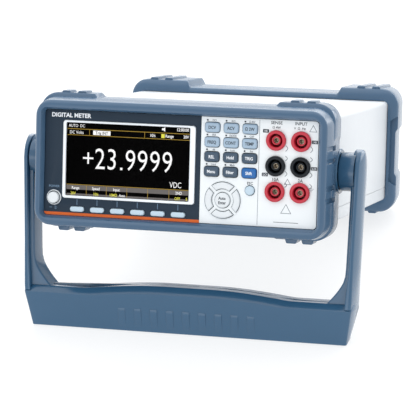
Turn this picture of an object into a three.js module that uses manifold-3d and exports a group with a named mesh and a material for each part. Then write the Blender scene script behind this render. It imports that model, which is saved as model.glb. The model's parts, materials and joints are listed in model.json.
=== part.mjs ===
// A bench multimeter that stands tilted on its swinging U-shaped handle.
// Units are millimetres. Everything is laid out in the chassis frame: X to the right, Y from the
// front panel into the case, Z up, origin in the middle of the front panel. The chassis group is
// then tipped back about X so that the instrument rests on its handle and its rear feet.

import * as THREE from 'three';
import { mergeVertices } from 'three/addons/utils/BufferGeometryUtils.js';
import Module from 'manifold-3d';

// ---- Driving dimensions ---------------------------------------------------------------------

const GAP = 0.3;                       // clearance between neighbouring pieces
const CENTRE_Z = -0.5;                 // mid-height of the case below the panel's middle

const PANEL = { halfWidth: 106.3, halfHeight: 40.2, corner: 2.6 };
const COVER = { halfWidth: 106.8, halfHeight: 40.9, wall: 1.6, front: 4, back: 282, corner: 3 };
const DIVIDE_X = 16.4;                 // edge between the dark display panel and the white keypad
const FASCIA = { front: 0, back: 2.8, rim: 16, wall: 0.9 };
const OVERLAY_THICK = 0.8;

const LIP = { halfWidth: 108.8, halfHeight: 42.4, corner: 5 };
const FRONT_BUMPER = {
  front: -5, draftEnd: 12, back: 36, padFront: 13, halfWidth: 114.6, halfHeight: 49.2, corner: 14,
  draft: 2, padRise: 2.9, sideRise: 0.6, padStart: 69.8, padSideTop: 28, padSideBottom: -15,
};
const REAR_BUMPER = {
  front: 245, back: 297, halfWidth: 113.4, halfHeight: 46, corner: 14, taperFront: 258, taper: 5.5,
  padRise: 5.3, sideRise: 1.8, padStart: 64, padSideTop: 19, padSideBottom: -22, lip: 3,
};
const BUMPER_CLEARANCE = GAP + 0.1;    // around the covers
const BUMP = { centres: [83.2, 95.8], halfWidth: 4.4, halfTop: 2.6, rise: 1.5, root: 3, margin: 4 };
const SIDE_GROOVES = { heights: [19.2, 9.8, -10.2, -19.4], width: 3.6, depth: 1.4, front: -3, back: 20 };

const SCREEN_FRAME = { left: -91.6, right: 12.3, bottom: -27.1, top: 31.9, corner: 2 };
const SCREEN_OPENING = { left: -89.2, right: 8.0, bottom: -25.1, top: 30.3, corner: 0.8 };
const LCD_MODULE = { x: -40.6, z: 2.6, halfWidth: 52, halfHeight: 31, front: 4.2, back: 8.2 };

const KEY = { front: -1.7, flangeFront: FASCIA.back + GAP, flange: 1.1, margin: 0.6, bevel: 0.4 };
const SOFT_KEYS = { count: 6, firstX: -79.5, pitch: 15.9, z: -35.3, halfWidth: 5.5, halfHeight: 1.95 };
const FUNCTION_KEYS = { columns: [25.1, 39.55, 54.0], rows: [31.6, 20.65, 9.7, -1.25],
  halfWidth: 5.55, halfHeight: 3.6, corner: 1.9 };
const FUNCTION_KEY_NAMES = [
  ['key_dc_volts', 'key_ac_volts', 'key_resistance'],
  ['key_frequency', 'key_continuity', 'key_temperature'],
  ['key_relative', 'key_hold', 'key_trigger'],
  ['key_menu', 'key_filter', 'key_shift'],
];
const NAVIGATION = { x: 34.2, z: -22.4, outer: 13.4, inner: 8.7, channel: 1.6, centreRadius: 5.7 };
const ESC_KEY = { x: 54.9, z: -14.1, radius: 3.45 };
const POWER_KEY = { x: -98.2, z: -27.1, radius: 4.3, front: -3.2 };

const JACK_COLUMNS = [74.04, 93.09];   // 19.05 mm apart, the standard pitch of 4 mm plugs
const JACK_ROWS = [24.08, 5.03, -14.02];
const JACK_NAMES = [
  ['jack_sense_hi', 'jack_input_hi'],
  ['jack_sense_lo', 'jack_input_lo'],
  ['jack_10a', 'jack_2a'],
];
const JACK = { rim: 7.6, well: 5.05, post: 3.4, bore: 2.0, body: 6.6, front: -2.4, back: 24,
  wellBack: 12, postFront: -0.6 };

const PIVOT = { y: 39, z: 0 };
const PIVOT_BASE = { radius: 17, outer: 115.4, pin: 6, pinEnd: 125 };
const HANDLE = {
  length: 129, gripTop: 98.8, crown: 4.4, halfDepth: 15.5, endRadius: 17,
  outerPivot: 134, outerGrip: 130.4, outerBottom: 126.4, plate: 5.6, spine: 4.4, spineHalfDepth: 10,
  bossRadius: 14.6, bossInner: 115.8, bossSunk: 3, fillet: 18, footFront: 7, footRear: 9,
};

const REAR = { front: 276, thick: 1.5 };
const REAR_FACE = REAR.front + REAR.thick + GAP;
const INLET = { x: -78, z: -18, halfWidth: 13.6, halfHeight: 10, back: 20, rim: 1.6, border: 2,
  well: { halfWidth: 12, halfHeight: 8, corner: 3, depth: 14 }, pins: [[-7, -2.4], [0, 2.4], [7, -2.4]] };
const FUSE = { x: -78, z: 3, halfWidth: 11, halfHeight: 6, back: 18, rim: 2 };
const SELECTOR = { x: -78, z: 21, halfWidth: 8, halfHeight: 6, back: 8, rim: 1 };
const LAN = { x: -30, z: -20, halfWidth: 8, halfHeight: 6.8, back: 14 };
const USB = { x: -5, z: -20, halfWidth: 6, halfHeight: 5.4, back: 12 };
const SERIAL = { x: 32, z: -20, halfWidth: 15.4, halfHeight: 6.2, back: 8, shell: 6 };
const TRIGGER = { x: 72, z: -20, radius: 5.6, barrel: 4.8, bore: 4, length: 12, lug: 5.8 };
const SLOT_COVER = { left: -48, right: 92, bottom: 2, top: 27, thick: 1 };
const VENTS = { first: 92, pitch: 6, count: 14, width: 2.4, low: -18, high: 6 };
const BOARD = { halfWidth: 98, front: 30, back: 250, thick: 1.6, lift: 6 };
const KEY_BOARD = { left: 19, right: 60, bottom: -38, top: 37, front: 7.6, back: 9.2 };

// ---- Geometry helpers ------------------------------------------------------------------------

const wasm = await Module();
wasm.setup();

/** A closed three.js geometry as a solid that can be joined and cut. */
function solid(geometry) {
  const bare = geometry.clone();
  bare.deleteAttribute('normal');
  bare.deleteAttribute('uv');
  const merged = mergeVertices(bare, 1e-3);
  return new wasm.Manifold(new wasm.Mesh({
    numProp: 3,
    vertProperties: new Float32Array(merged.attributes.position.array),
    triVerts: new Uint32Array(merged.index.array),
  }));
}

/** The result of a join or cut as a three.js geometry. */
function geometryOf(manifold) {
  const result = manifold.getMesh();
  const geometry = new THREE.BufferGeometry();
  geometry.setAttribute('position', new THREE.BufferAttribute(result.vertProperties, 3));
  geometry.setIndex(new THREE.BufferAttribute(result.triVerts, 1));
  geometry.computeVertexNormals();
  return geometry;
}

function join(first, ...others) {
  return others.reduce((whole, other) => whole.add(other), first);
}

function cut(first, ...others) {
  return others.reduce((whole, other) => whole.subtract(other), first);
}

function roundedRect(left, right, bottom, top, radius) {
  const shape = new THREE.Shape();
  shape.moveTo(left + radius, bottom);
  shape.lineTo(right - radius, bottom);
  shape.absarc(right - radius, bottom + radius, radius, -Math.PI / 2, 0);
  shape.absarc(right - radius, top - radius, radius, 0, Math.PI / 2);
  shape.absarc(left + radius, top - radius, radius, Math.PI / 2, Math.PI);
  shape.absarc(left + radius, bottom + radius, radius, Math.PI, Math.PI * 1.5);
  return shape;
}

/** Extrudes an outline drawn in (X, Z) from y0 to y1. */
function alongY(shape, y0, y1, curveSegments = 1) {
  const geometry = new THREE.ExtrudeGeometry(shape, { depth: y1 - y0, bevelEnabled: false, curveSegments });
  geometry.rotateX(Math.PI / 2);
  geometry.translate(0, y1, 0);
  return solid(geometry);
}

/** Extrudes an outline drawn in (Y, Z) from x0 to x1. */
function alongX(shape, x0, x1, curveSegments = 6) {
  const geometry = new THREE.ExtrudeGeometry(shape, { depth: x1 - x0, bevelEnabled: false, curveSegments });
  const axes = new THREE.Matrix4().makeBasis(
    new THREE.Vector3(0, 1, 0), new THREE.Vector3(0, 0, 1), new THREE.Vector3(1, 0, 0));
  geometry.applyMatrix4(axes);
  geometry.translate(x0, 0, 0);
  return solid(geometry);
}

function rectY(left, right, bottom, top, radius, y0, y1) {
  return alongY(roundedRect(left, right, bottom, top, radius), y0, y1);
}

function block(x0, x1, y0, y1, z0, z1) {
  const geometry = new THREE.BoxGeometry(x1 - x0, y1 - y0, z1 - z0);
  geometry.translate((x0 + x1) / 2, (y0 + y1) / 2, (z0 + z1) / 2);
  return solid(geometry);
}

function rodY(radius, y0, y1, x, z, segments = 24) {
  const geometry = new THREE.CylinderGeometry(radius, radius, y1 - y0, segments);
  geometry.translate(x, (y0 + y1) / 2, z);
  return solid(geometry);
}

function rodX(radius, x0, x1, y, z, segments = 32) {
  const geometry = new THREE.CylinderGeometry(radius, radius, x1 - x0, segments);
  geometry.rotateZ(-Math.PI / 2);
  geometry.translate((x0 + x1) / 2, y, z);
  return solid(geometry);
}

function rodZ(radius, z0, z1, x, y, segments = 16) {
  const geometry = new THREE.CylinderGeometry(radius, radius, z1 - z0, segments);
  geometry.rotateX(Math.PI / 2);
  geometry.translate(x, y, (z0 + z1) / 2);
  return solid(geometry);
}

/** A closed solid through rings of points with equal counts: joined end to end, or capped. */
function skin(rings, capped) {
  const count = rings[0].length;
  const positions = rings.flat().flatMap((point) => [point.x, point.y, point.z]);
  const triangles = [];
  const steps = capped ? rings.length - 1 : rings.length;
  for (let ring = 0; ring < steps; ring += 1) {
    const next = (ring + 1) % rings.length;
    for (let i = 0; i < count; i += 1) {
      const j = (i + 1) % count;
      const [a, b, c, d] = [ring * count + i, ring * count + j, next * count + j, next * count + i];
      triangles.push(a, c, b, a, d, c);
    }
  }
  if (capped) {
    const flat = (ring) => ring.map((point) => new THREE.Vector2(point.x, point.z));
    const last = (rings.length - 1) * count;
    THREE.ShapeUtils.triangulateShape(flat(rings[0]), []).forEach(([a, b, c]) => triangles.push(a, b, c));
    THREE.ShapeUtils.triangulateShape(flat(rings.at(-1)), [])
      .forEach(([a, b, c]) => triangles.push(last + a, last + c, last + b));
  }
  const geometry = new THREE.BufferGeometry();
  geometry.setAttribute('position', new THREE.Float32BufferAttribute(positions, 3));
  geometry.setIndex(triangles);
  return solid(geometry);
}

/** A closed band around the case, made from rings of points that run front to back and inside. */
function band(rings) {
  return skin(rings, false);
}

/** A capped solid through the outline of a key, grown by a given amount at each [y, grow] station. */
function lofted(key, stations) {
  return skin(stations.map(([y, grow]) => key.shape(grow).extractPoints(key.curve).shape
    .slice(0, -1).map((point) => new THREE.Vector3(point.x, y, point.y))), true);
}

function mirrored(manifold) {
  return manifold.mirror([1, 0, 0]);
}

// ---- Materials -------------------------------------------------------------------------------

function plastic(color, roughness = 0.45) {
  return new THREE.MeshStandardMaterial({ color, roughness, metalness: 0 });
}

function metal(color, roughness = 0.35) {
  return new THREE.MeshStandardMaterial({ color, roughness, metalness: 1 });
}

const COLOURS = {
  bumper: 0x60799a, handle: 0x4f7190, chassis: 0xeef1f5, fascia: 0xf4f6fa, panel: 0x243244,
  silver: 0xc6cdd6, window: 0x101216, board: 0x1f5a3a, lightKey: 0xbccbdd, darkKey: 0x54687c,
  blueKey: 0x1264b8, whiteKey: 0xf2f5fa, softKey: 0xd8e6f4, red: 0xc8324e, black: 0x1b1f26,
  steel: 0xb9bec4, sheet: 0xd4d8dc, selector: 0xb5372b, core: 0x6a5a48,
};

const instrument = new THREE.Group();
const chassis = new THREE.Group();
instrument.add(chassis);

function addPiece(name, manifold, material) {
  const piece = new THREE.Mesh(geometryOf(manifold), material);
  piece.name = name;
  chassis.add(piece);
  return piece;
}

// ---- Bumpers ---------------------------------------------------------------------------------

/** Outline of a bumper in (X, Z): a rounded rectangle whose corners carry raised pads. */
function bumperOutline(bumper, y, inset, lift) {
  const halfWidth = bumper.halfWidth - inset;
  const halfHeight = bumper.halfHeight - inset;
  const rise = bumper.padRise * lift;
  const side = bumper.sideRise * lift;
  const points = [];
  const put = (x, z) => points.push(new THREE.Vector3(x, y, CENTRE_Z + z));
  const corner = (signX, signZ) => {
    const steps = 6;
    const radius = bumper.corner - inset;
    const centreX = halfWidth + side - radius;
    const centreZ = halfHeight + rise - radius;
    for (let step = 0; step <= steps; step += 1) {
      const turn = signX * signZ > 0 ? step / steps : 1 - step / steps;
      const angle = turn * Math.PI / 2;
      put(signX * (centreX + radius * Math.cos(angle)), signZ * (centreZ + radius * Math.sin(angle)));
    }
  };
  const flank = (signX, ends) => ends.forEach(([x, z]) => put(signX * x, z));
  const { padStart, padSideTop, padSideBottom } = bumper;
  const top = [[halfWidth + side, padSideTop], [halfWidth, padSideTop - 3]];
  const bottom = [[halfWidth, padSideBottom + 3], [halfWidth + side, padSideBottom]];
  corner(1, 1);
  put(padStart + 3, halfHeight + rise);
  put(padStart - 1, halfHeight);
  put(-padStart + 1, halfHeight);
  put(-padStart - 3, halfHeight + rise);
  corner(-1, 1);
  flank(-1, [...top, ...bottom]);
  corner(-1, -1);
  const low = -halfHeight - rise;
  put(-padStart - 3, low);
  put(-padStart + 1, -halfHeight);
  put(padStart - 1, -halfHeight);
  put(padStart + 3, low);
  corner(1, -1);
  flank(1, [...bottom].reverse());
  flank(1, [...top].reverse());
  return points;
}

/** A plain rounded rectangle around the case with as many points as a bumper outline. */
function innerOutline(halfWidth, halfHeight, radius, y, bumper) {
  return bumperOutline({
    ...bumper, halfWidth, halfHeight, corner: radius, padRise: 0, sideRise: 0,
    padStart: bumper.padStart, padSideTop: 20, padSideBottom: -20,
  }, y, 0, 0);
}

/** Two trapezoid bumps on each corner pad, above and below. */
function bumps(padHeight, signZ, y0, y1) {
  const pieces = [];
  for (const signX of [-1, 1]) {
    for (const centre of BUMP.centres) {
      const base = padHeight - BUMP.root;
      const shape = new THREE.Shape();
      const x = signX * centre;
      const at = (dx, z) => [x + dx, CENTRE_Z + signZ * z];
      const ends = [at(-BUMP.halfWidth, base), at(BUMP.halfWidth, base),
        at(BUMP.halfTop, padHeight + BUMP.rise), at(-BUMP.halfTop, padHeight + BUMP.rise)];
      if (signZ < 0) ends.reverse();
      shape.moveTo(...ends[0]);
      ends.slice(1).forEach((end) => shape.lineTo(...end));
      pieces.push(alongY(shape, y0, y1));
    }
  }
  return pieces;
}

function allBumps(bumper, front) {
  const padHeight = bumper.halfHeight + bumper.padRise;
  const [y0, y1] = [front + BUMP.margin, bumper.back - BUMP.margin];
  return [...bumps(padHeight, 1, y0, y1), ...bumps(padHeight, -1, y0, y1)];
}

function frontBumper() {
  const b = FRONT_BUMPER;
  const insideWidth = COVER.halfWidth + BUMPER_CLEARANCE;
  const insideHeight = COVER.halfHeight + BUMPER_CLEARANCE;
  const rings = [
    innerOutline(LIP.halfWidth, LIP.halfHeight, LIP.corner, b.front, b),
    bumperOutline(b, b.front, b.draft + 1, 0),
    bumperOutline(b, b.front + 1.5, b.draft, 0),
    bumperOutline(b, b.draftEnd, 0, 0),
    bumperOutline(b, b.padFront + 2, 0, 1),
    bumperOutline(b, b.back - 3, 0, 1),
    bumperOutline(b, b.back, 2.2, 1),
    innerOutline(insideWidth, insideHeight, COVER.corner, b.back, b),
    innerOutline(insideWidth, insideHeight, COVER.corner, FASCIA.front, b),
    innerOutline(PANEL.halfWidth, PANEL.halfHeight, PANEL.corner, FASCIA.front, b),
  ];
  const grooves = SIDE_GROOVES.heights.map((height) => {
    const half = SIDE_GROOVES.width / 2;
    return block(b.halfWidth - SIDE_GROOVES.depth, b.halfWidth + 3, SIDE_GROOVES.front,
      SIDE_GROOVES.back, height - half, height + half);
  });
  const notch = rodX(PIVOT_BASE.radius + 1, insideWidth - 1, PIVOT_BASE.pinEnd, PIVOT.y, PIVOT.z);
  const cuts = [...grooves, notch];
  return cut(join(band(rings), ...allBumps(b, b.padFront)), ...cuts, ...cuts.map(mirrored));
}

/** The rear bumper narrows towards the back, and its lip covers the rear edges of the case. */
function rearBumper() {
  const b = REAR_BUMPER;
  const narrow = { ...b, halfWidth: b.halfWidth - b.taper };
  const insideWidth = COVER.halfWidth + BUMPER_CLEARANCE;
  const insideHeight = COVER.halfHeight + BUMPER_CLEARANCE;
  const lipWidth = insideWidth - b.lip;
  const lipHeight = insideHeight - b.lip;
  return join(band([
    innerOutline(insideWidth, insideHeight, COVER.corner, b.front, b),
    bumperOutline(b, b.front, 1.2, 0),
    bumperOutline(b, b.front + 1, 0, 1),
    bumperOutline(b, b.taperFront, 0, 1),
    bumperOutline(narrow, b.back - 4, 0, 1),
    bumperOutline(narrow, b.back - 1, 0.8, 1),
    bumperOutline(narrow, b.back, 2, 1),
    innerOutline(lipWidth, lipHeight, COVER.corner, b.back, b),
    innerOutline(lipWidth, lipHeight, COVER.corner, COVER.back + GAP, b),
    innerOutline(insideWidth, insideHeight, COVER.corner, COVER.back + GAP, b),
  ]), ...allBumps(b, b.front));
}

// ---- Case ------------------------------------------------------------------------------------

function caseShell(signZ) {
  const { halfWidth, halfHeight, wall, front, back, corner } = COVER;
  const split = CENTRE_Z - 30;
  const [bottom, top] = [CENTRE_Z - halfHeight, CENTRE_Z + halfHeight];
  const outer = rectY(-halfWidth, halfWidth, bottom, top, corner, front, back);
  const inner = rectY(-halfWidth + wall, halfWidth - wall, bottom + wall, top - wall, corner - wall,
    front - 1, back + 1);
  const shell = cut(outer, inner);
  const reach = 200;
  return signZ > 0
    ? cut(shell, block(-reach, reach, front - 1, back + 1, -reach, split))
    : cut(shell, block(-reach, reach, front - 1, back + 1, split - GAP, reach));
}

/** The top cover has a row of vent slots through its left wall. */
function topCover() {
  const slots = [];
  for (let i = 0; i < VENTS.count; i += 1) {
    const y = VENTS.first + i * VENTS.pitch;
    slots.push(block(-COVER.halfWidth - 2, -COVER.halfWidth + 4, y, y + VENTS.width, VENTS.low, VENTS.high));
  }
  return cut(caseShell(1), ...slots);
}

// ---- Rear face -------------------------------------------------------------------------------

function aroundPiece(piece, grow, y0, y1, corner = 1) {
  return rectY(piece.x - piece.halfWidth - grow, piece.x + piece.halfWidth + grow,
    piece.z - piece.halfHeight - grow, piece.z + piece.halfHeight + grow, corner, y0, y1);
}

function rearPanel() {
  const edge = COVER.wall + GAP;
  const { halfWidth, halfHeight } = COVER;
  const [y0, y1] = [REAR.front - 1, REAR_FACE + 1];
  const plate = rectY(-halfWidth + edge, halfWidth - edge, CENTRE_Z - halfHeight + edge,
    CENTRE_Z + halfHeight - edge, 1, REAR.front, REAR.front + REAR.thick);
  const windows = [INLET, FUSE, SELECTOR, LAN, USB, SERIAL]
    .map((piece) => aroundPiece(piece, GAP, y0, y1, 0.8));
  const border = 4;
  const slot = rectY(SLOT_COVER.left + border, SLOT_COVER.right - border, SLOT_COVER.bottom + border,
    SLOT_COVER.top - border, 1, y0, y1);
  return cut(plate, ...windows, slot, rodY(TRIGGER.radius + GAP, y0, y1, TRIGGER.x, TRIGGER.z));
}

/** A rectangular body that passes through the rear panel, with a flange that rests on its outside. */
function flangedBody(piece, border) {
  return join(aroundPiece(piece, 0, REAR.front - piece.back, REAR_FACE + piece.rim),
    aroundPiece(piece, border, REAR_FACE, REAR_FACE + piece.rim));
}

function powerInlet() {
  const { x, z, well } = INLET;
  const floor = REAR_FACE - well.depth;
  const hollow = rectY(x - well.halfWidth, x + well.halfWidth, z - well.halfHeight, z + well.halfHeight,
    well.corner, floor, REAR_FACE + 3);
  const pins = INLET.pins.map(([dx, dz]) => block(x + dx - 1, x + dx + 1, floor - 1, REAR_FACE - 3,
    z + dz - 2.2, z + dz + 2.2));
  return join(cut(flangedBody(INLET, INLET.border), hollow), ...pins);
}

/** A metal socket shell, open to the rear. */
function socketShell(socket, halfWidth, halfHeight, depth) {
  return cut(aroundPiece(socket, 0, REAR.front - socket.back, REAR_FACE),
    block(socket.x - halfWidth, socket.x + halfWidth, REAR.front - depth, REAR_FACE + 1,
      socket.z - halfHeight, socket.z + halfHeight));
}

function usbSocket() {
  return join(socketShell(USB, 4.2, 3.8, 8), block(USB.x - 2.8, USB.x + 2.8, REAR.front - 9, REAR_FACE - 1,
    USB.z - 1.5, USB.z + 1.5));
}

function serialSocket() {
  const { x, z, back, shell } = SERIAL;
  return cut(join(aroundPiece(SERIAL, 0, REAR.front - back, REAR_FACE + 1),
    rectY(x - 8.5, x + 8.5, z - 4.2, z + 4.2, 2, REAR_FACE, REAR_FACE + shell)),
  rectY(x - 7.7, x + 7.7, z - 3.4, z + 3.4, 1.5, REAR_FACE + 0.6, REAR_FACE + shell + 1));
}

function triggerSocket() {
  const { x, z, radius, barrel, bore, length, lug } = TRIGGER;
  const lugs = cut(block(x - lug, x + lug, REAR_FACE + 7, REAR_FACE + 9, z - 0.8, z + 0.8),
    rodY(bore + 0.4, REAR_FACE + 6, REAR_FACE + 10, x, z));
  return join(
    cut(rodY(barrel, REAR_FACE, REAR_FACE + length, x, z),
      rodY(bore, REAR_FACE + 2, REAR_FACE + length + 1, x, z)),
    rodY(radius, REAR.front - 8, REAR_FACE + 1, x, z),
    rodY(0.9, REAR_FACE + 1.5, REAR_FACE + 9, x, z, 8),
    lugs,
  );
}

function addRearPieces() {
  const black = plastic(COLOURS.black, 0.5);
  const slider = block(SELECTOR.x - 5, SELECTOR.x + 5, REAR_FACE - 0.5, REAR_FACE + 2,
    SELECTOR.z - 1, SELECTOR.z + 1);
  addPiece('power_inlet', powerInlet(), black);
  addPiece('fuse_drawer', flangedBody(FUSE, 1), black);
  addPiece('voltage_selector', cut(flangedBody(SELECTOR, 1), slider), plastic(COLOURS.selector, 0.5));
  addPiece('lan_socket', socketShell(LAN, 5.9, 4, 9), metal(COLOURS.steel));
  addPiece('usb_socket', usbSocket(), metal(COLOURS.steel));
  addPiece('serial_socket', serialSocket(), metal(COLOURS.steel));
  addPiece('trigger_socket', triggerSocket(), metal(COLOURS.steel));
  addPiece('option_slot_cover', rectY(SLOT_COVER.left, SLOT_COVER.right, SLOT_COVER.bottom, SLOT_COVER.top,
    1, REAR_FACE, REAR_FACE + SLOT_COVER.thick), metal(COLOURS.sheet, 0.45));
}

// ---- Front panel -----------------------------------------------------------------------------

/** Opening outline of each key in the fascia, and the solid key that slides in it. */
function keyRect(name, x, z, halfWidth, halfHeight, corner, material) {
  const shape = (grow) => roundedRect(x - halfWidth - grow, x + halfWidth + grow,
    z - halfHeight - grow, z + halfHeight + grow, corner + grow);
  return { name, shape, material, front: KEY.front, curve: 1 };
}

function keyDisc(name, x, z, radius, material, front = KEY.front) {
  const shape = (grow) => {
    const disc = new THREE.Shape();
    disc.absarc(x, z, radius + grow, 0, Math.PI * 2);
    return disc;
  };
  return { name, shape, material, front, curve: 8 };
}

function keyArc(name, direction, material) {
  const shape = (grow) => {
    const outer = NAVIGATION.outer + grow;
    const inner = NAVIGATION.inner - grow;
    const channel = NAVIGATION.channel - grow;
    const outerHalf = Math.PI / 4 - Math.asin(channel / outer);
    const innerHalf = Math.PI / 4 - Math.asin(channel / inner);
    const arc = new THREE.Shape();
    arc.absarc(NAVIGATION.x, NAVIGATION.z, outer, direction - outerHalf, direction + outerHalf);
    arc.absarc(NAVIGATION.x, NAVIGATION.z, inner, direction + innerHalf, direction - innerHalf, true);
    arc.closePath();
    return arc;
  };
  return { name, shape, material, front: KEY.front, curve: 3 };
}

function allKeys() {
  const keys = [keyDisc('power_button', POWER_KEY.x, POWER_KEY.z, POWER_KEY.radius,
    plastic(COLOURS.whiteKey), POWER_KEY.front)];
  for (let i = 0; i < SOFT_KEYS.count; i += 1) {
    keys.push(keyRect(`soft_key_${i + 1}`, SOFT_KEYS.firstX + i * SOFT_KEYS.pitch, SOFT_KEYS.z,
      SOFT_KEYS.halfWidth, SOFT_KEYS.halfHeight, SOFT_KEYS.halfHeight - 0.15, plastic(COLOURS.softKey)));
  }
  FUNCTION_KEYS.rows.forEach((z, row) => {
    FUNCTION_KEYS.columns.forEach((x, column) => {
      const name = FUNCTION_KEY_NAMES[row][column];
      const colour = row < 2 ? COLOURS.lightKey : COLOURS.darkKey;
      keys.push(keyRect(name, x, z, FUNCTION_KEYS.halfWidth, FUNCTION_KEYS.halfHeight,
        FUNCTION_KEYS.corner, plastic(name === 'key_shift' ? COLOURS.blueKey : colour)));
    });
  });
  ['right', 'up', 'left', 'down'].forEach((side, turn) => {
    keys.push(keyArc(`nav_${side}`, turn * Math.PI / 2, plastic(COLOURS.whiteKey)));
  });
  keys.push(keyDisc('enter_key', NAVIGATION.x, NAVIGATION.z, NAVIGATION.centreRadius,
    plastic(COLOURS.whiteKey)));
  keys.push(keyDisc('esc_key', ESC_KEY.x, ESC_KEY.z, ESC_KEY.radius, plastic(COLOURS.softKey)));
  return keys;
}

/** A key cap that shows through the fascia, with a wider flange behind it that keeps it in. */
function keySolid(key) {
  const back = KEY.flangeFront + KEY.flange;
  return lofted(key, [[key.front, -KEY.bevel], [key.front + KEY.bevel, 0], [KEY.flangeFront, 0],
    [KEY.flangeFront, KEY.margin], [back, KEY.margin]]);
}

function screenRect(box, grow, y0, y1) {
  return rectY(box.left - grow, box.right + grow, box.bottom - grow, box.top + grow,
    box.corner + grow, y0, y1);
}

function fascia(keys) {
  const { halfWidth, halfHeight, corner } = PANEL;
  const rim = rectY(-COVER.halfWidth, COVER.halfWidth, CENTRE_Z - COVER.halfHeight + 0.2,
    CENTRE_Z + COVER.halfHeight - 0.2, corner, FASCIA.front + GAP, COVER.front - GAP);
  const edge = COVER.wall;
  const tub = rectY(-halfWidth + edge, halfWidth - edge, CENTRE_Z - halfHeight + edge,
    CENTRE_Z + halfHeight - edge, corner, FASCIA.front + GAP, FASCIA.rim);
  const face = rectY(-halfWidth + GAP, halfWidth - GAP, CENTRE_Z - halfHeight + GAP,
    CENTRE_Z + halfHeight - GAP, corner, FASCIA.front, FASCIA.front + 1);
  const inset = edge + FASCIA.wall;
  const hollow = rectY(-halfWidth + inset, halfWidth - inset, CENTRE_Z - halfHeight + inset,
    CENTRE_Z + halfHeight - inset, 1, FASCIA.back, FASCIA.rim + 1);
  const recess = rectY(-halfWidth - 5, DIVIDE_X, -60, 60, 0.2, FASCIA.front - 1, OVERLAY_THICK + GAP);
  const jacks = [];
  JACK_COLUMNS.forEach((x) => JACK_ROWS.forEach((z) => {
    jacks.push(rodY(JACK.body + GAP, FASCIA.front - 1, FASCIA.back + 1, x, z, 20));
  }));
  return cut(join(rim, tub, face), hollow, recess,
    ...keys.map((key) => alongY(key.shape(GAP), FASCIA.front - 2, FASCIA.back + 1, key.curve)),
    screenRect(SCREEN_OPENING, 0.9 + GAP, FASCIA.front - 2, FASCIA.back + 1), ...jacks);
}

function displayOverlay(keys) {
  const { halfWidth, halfHeight, corner } = PANEL;
  const sheet = rectY(-halfWidth + GAP, DIVIDE_X - GAP, CENTRE_Z - halfHeight + GAP,
    CENTRE_Z + halfHeight - GAP, corner, FASCIA.front, OVERLAY_THICK);
  return cut(sheet, screenRect(SCREEN_FRAME, GAP, FASCIA.front - 1, FASCIA.back),
    ...keys.filter((key) => key.name.startsWith('soft') || key.name.startsWith('power'))
      .map((key) => alongY(key.shape(GAP), FASCIA.front - 1, FASCIA.back, key.curve)));
}

function displayFrame() {
  const face = screenRect(SCREEN_FRAME, 0, -1.1, OVERLAY_THICK);
  const sleeve = screenRect(SCREEN_OPENING, 0.9, -1, FASCIA.back);
  return cut(join(face, sleeve), screenRect(SCREEN_OPENING, 0, -2, FASCIA.back + 1));
}

function jack(x, z) {
  const flange = rodY(JACK.rim, JACK.front, FASCIA.front - GAP, x, z, 24);
  const body = rodY(JACK.body, FASCIA.front - 1, JACK.back, x, z, 20);
  const well = rodY(JACK.well, JACK.front - 1, JACK.wellBack, x, z, 16);
  const post = rodY(JACK.post, JACK.postFront, JACK.wellBack + 1, x, z, 12);
  const bore = rodY(JACK.bore, JACK.front - 1, JACK.back - 3, x, z, 8);
  return cut(join(cut(join(flange, body), well), post), bore);
}

// ---- Handle and its pivots -------------------------------------------------------------------

/** The U outline seen from the front: arms down each side and the grip across the bottom. */
function handleFrontOutline() {
  const h = HANDLE;
  const innerArm = h.outerPivot - h.plate - h.spine;
  const innerGrip = h.outerGrip - h.plate - h.spine;
  const shape = new THREE.Shape();
  shape.moveTo(-h.outerPivot, h.endRadius + 1);
  shape.lineTo(-h.outerPivot, 0);
  shape.lineTo(-h.outerGrip, -h.gripTop + 6);
  shape.lineTo(-h.outerBottom - 1.6, -h.length + 9);
  shape.lineTo(-h.outerBottom + 1.5, -h.length);
  shape.lineTo(h.outerBottom - 1.5, -h.length);
  shape.lineTo(h.outerBottom + 1.6, -h.length + 9);
  shape.lineTo(h.outerGrip, -h.gripTop + 6);
  shape.lineTo(h.outerPivot, 0);
  shape.lineTo(h.outerPivot, h.endRadius + 1);
  shape.lineTo(innerArm, h.endRadius + 1);
  shape.lineTo(innerGrip, -h.gripTop + h.fillet);
  shape.quadraticCurveTo(innerGrip, -h.gripTop, innerGrip - h.fillet, -h.gripTop);
  shape.lineTo(66, -h.gripTop);
  shape.bezierCurveTo(40, -h.gripTop + h.crown, -40, -h.gripTop + h.crown, -66, -h.gripTop);
  shape.lineTo(-innerGrip + h.fillet, -h.gripTop);
  shape.quadraticCurveTo(-innerGrip, -h.gripTop, -innerGrip, -h.gripTop + h.fillet);
  shape.lineTo(-innerArm, h.endRadius + 1);
  shape.closePath();
  return shape;
}

/** The outline seen from the side: a round end at the pivot and a grip that tapers downwards. */
function handleSideOutline(standing) {
  const h = HANDLE;
  const { y } = PIVOT;
  const bottom = -h.length;
  const rise = (fromY) => (fromY - y) * Math.tan(standing);
  const shape = new THREE.Shape();
  const frontFoot = y - h.footFront;
  const rearFoot = y + h.footRear;
  shape.moveTo(y + h.halfDepth + 0.5, 0);
  shape.lineTo(y + h.halfDepth, -h.gripTop - 4);
  shape.lineTo(rearFoot, bottom + rise(rearFoot));
  shape.lineTo(frontFoot, bottom + rise(frontFoot));
  shape.lineTo(y - h.halfDepth, -h.gripTop - 5);
  shape.lineTo(y - h.endRadius, 0);
  shape.absarc(y, PIVOT.z, h.endRadius, Math.PI, 0, true);
  shape.closePath();
  return shape;
}

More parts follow.
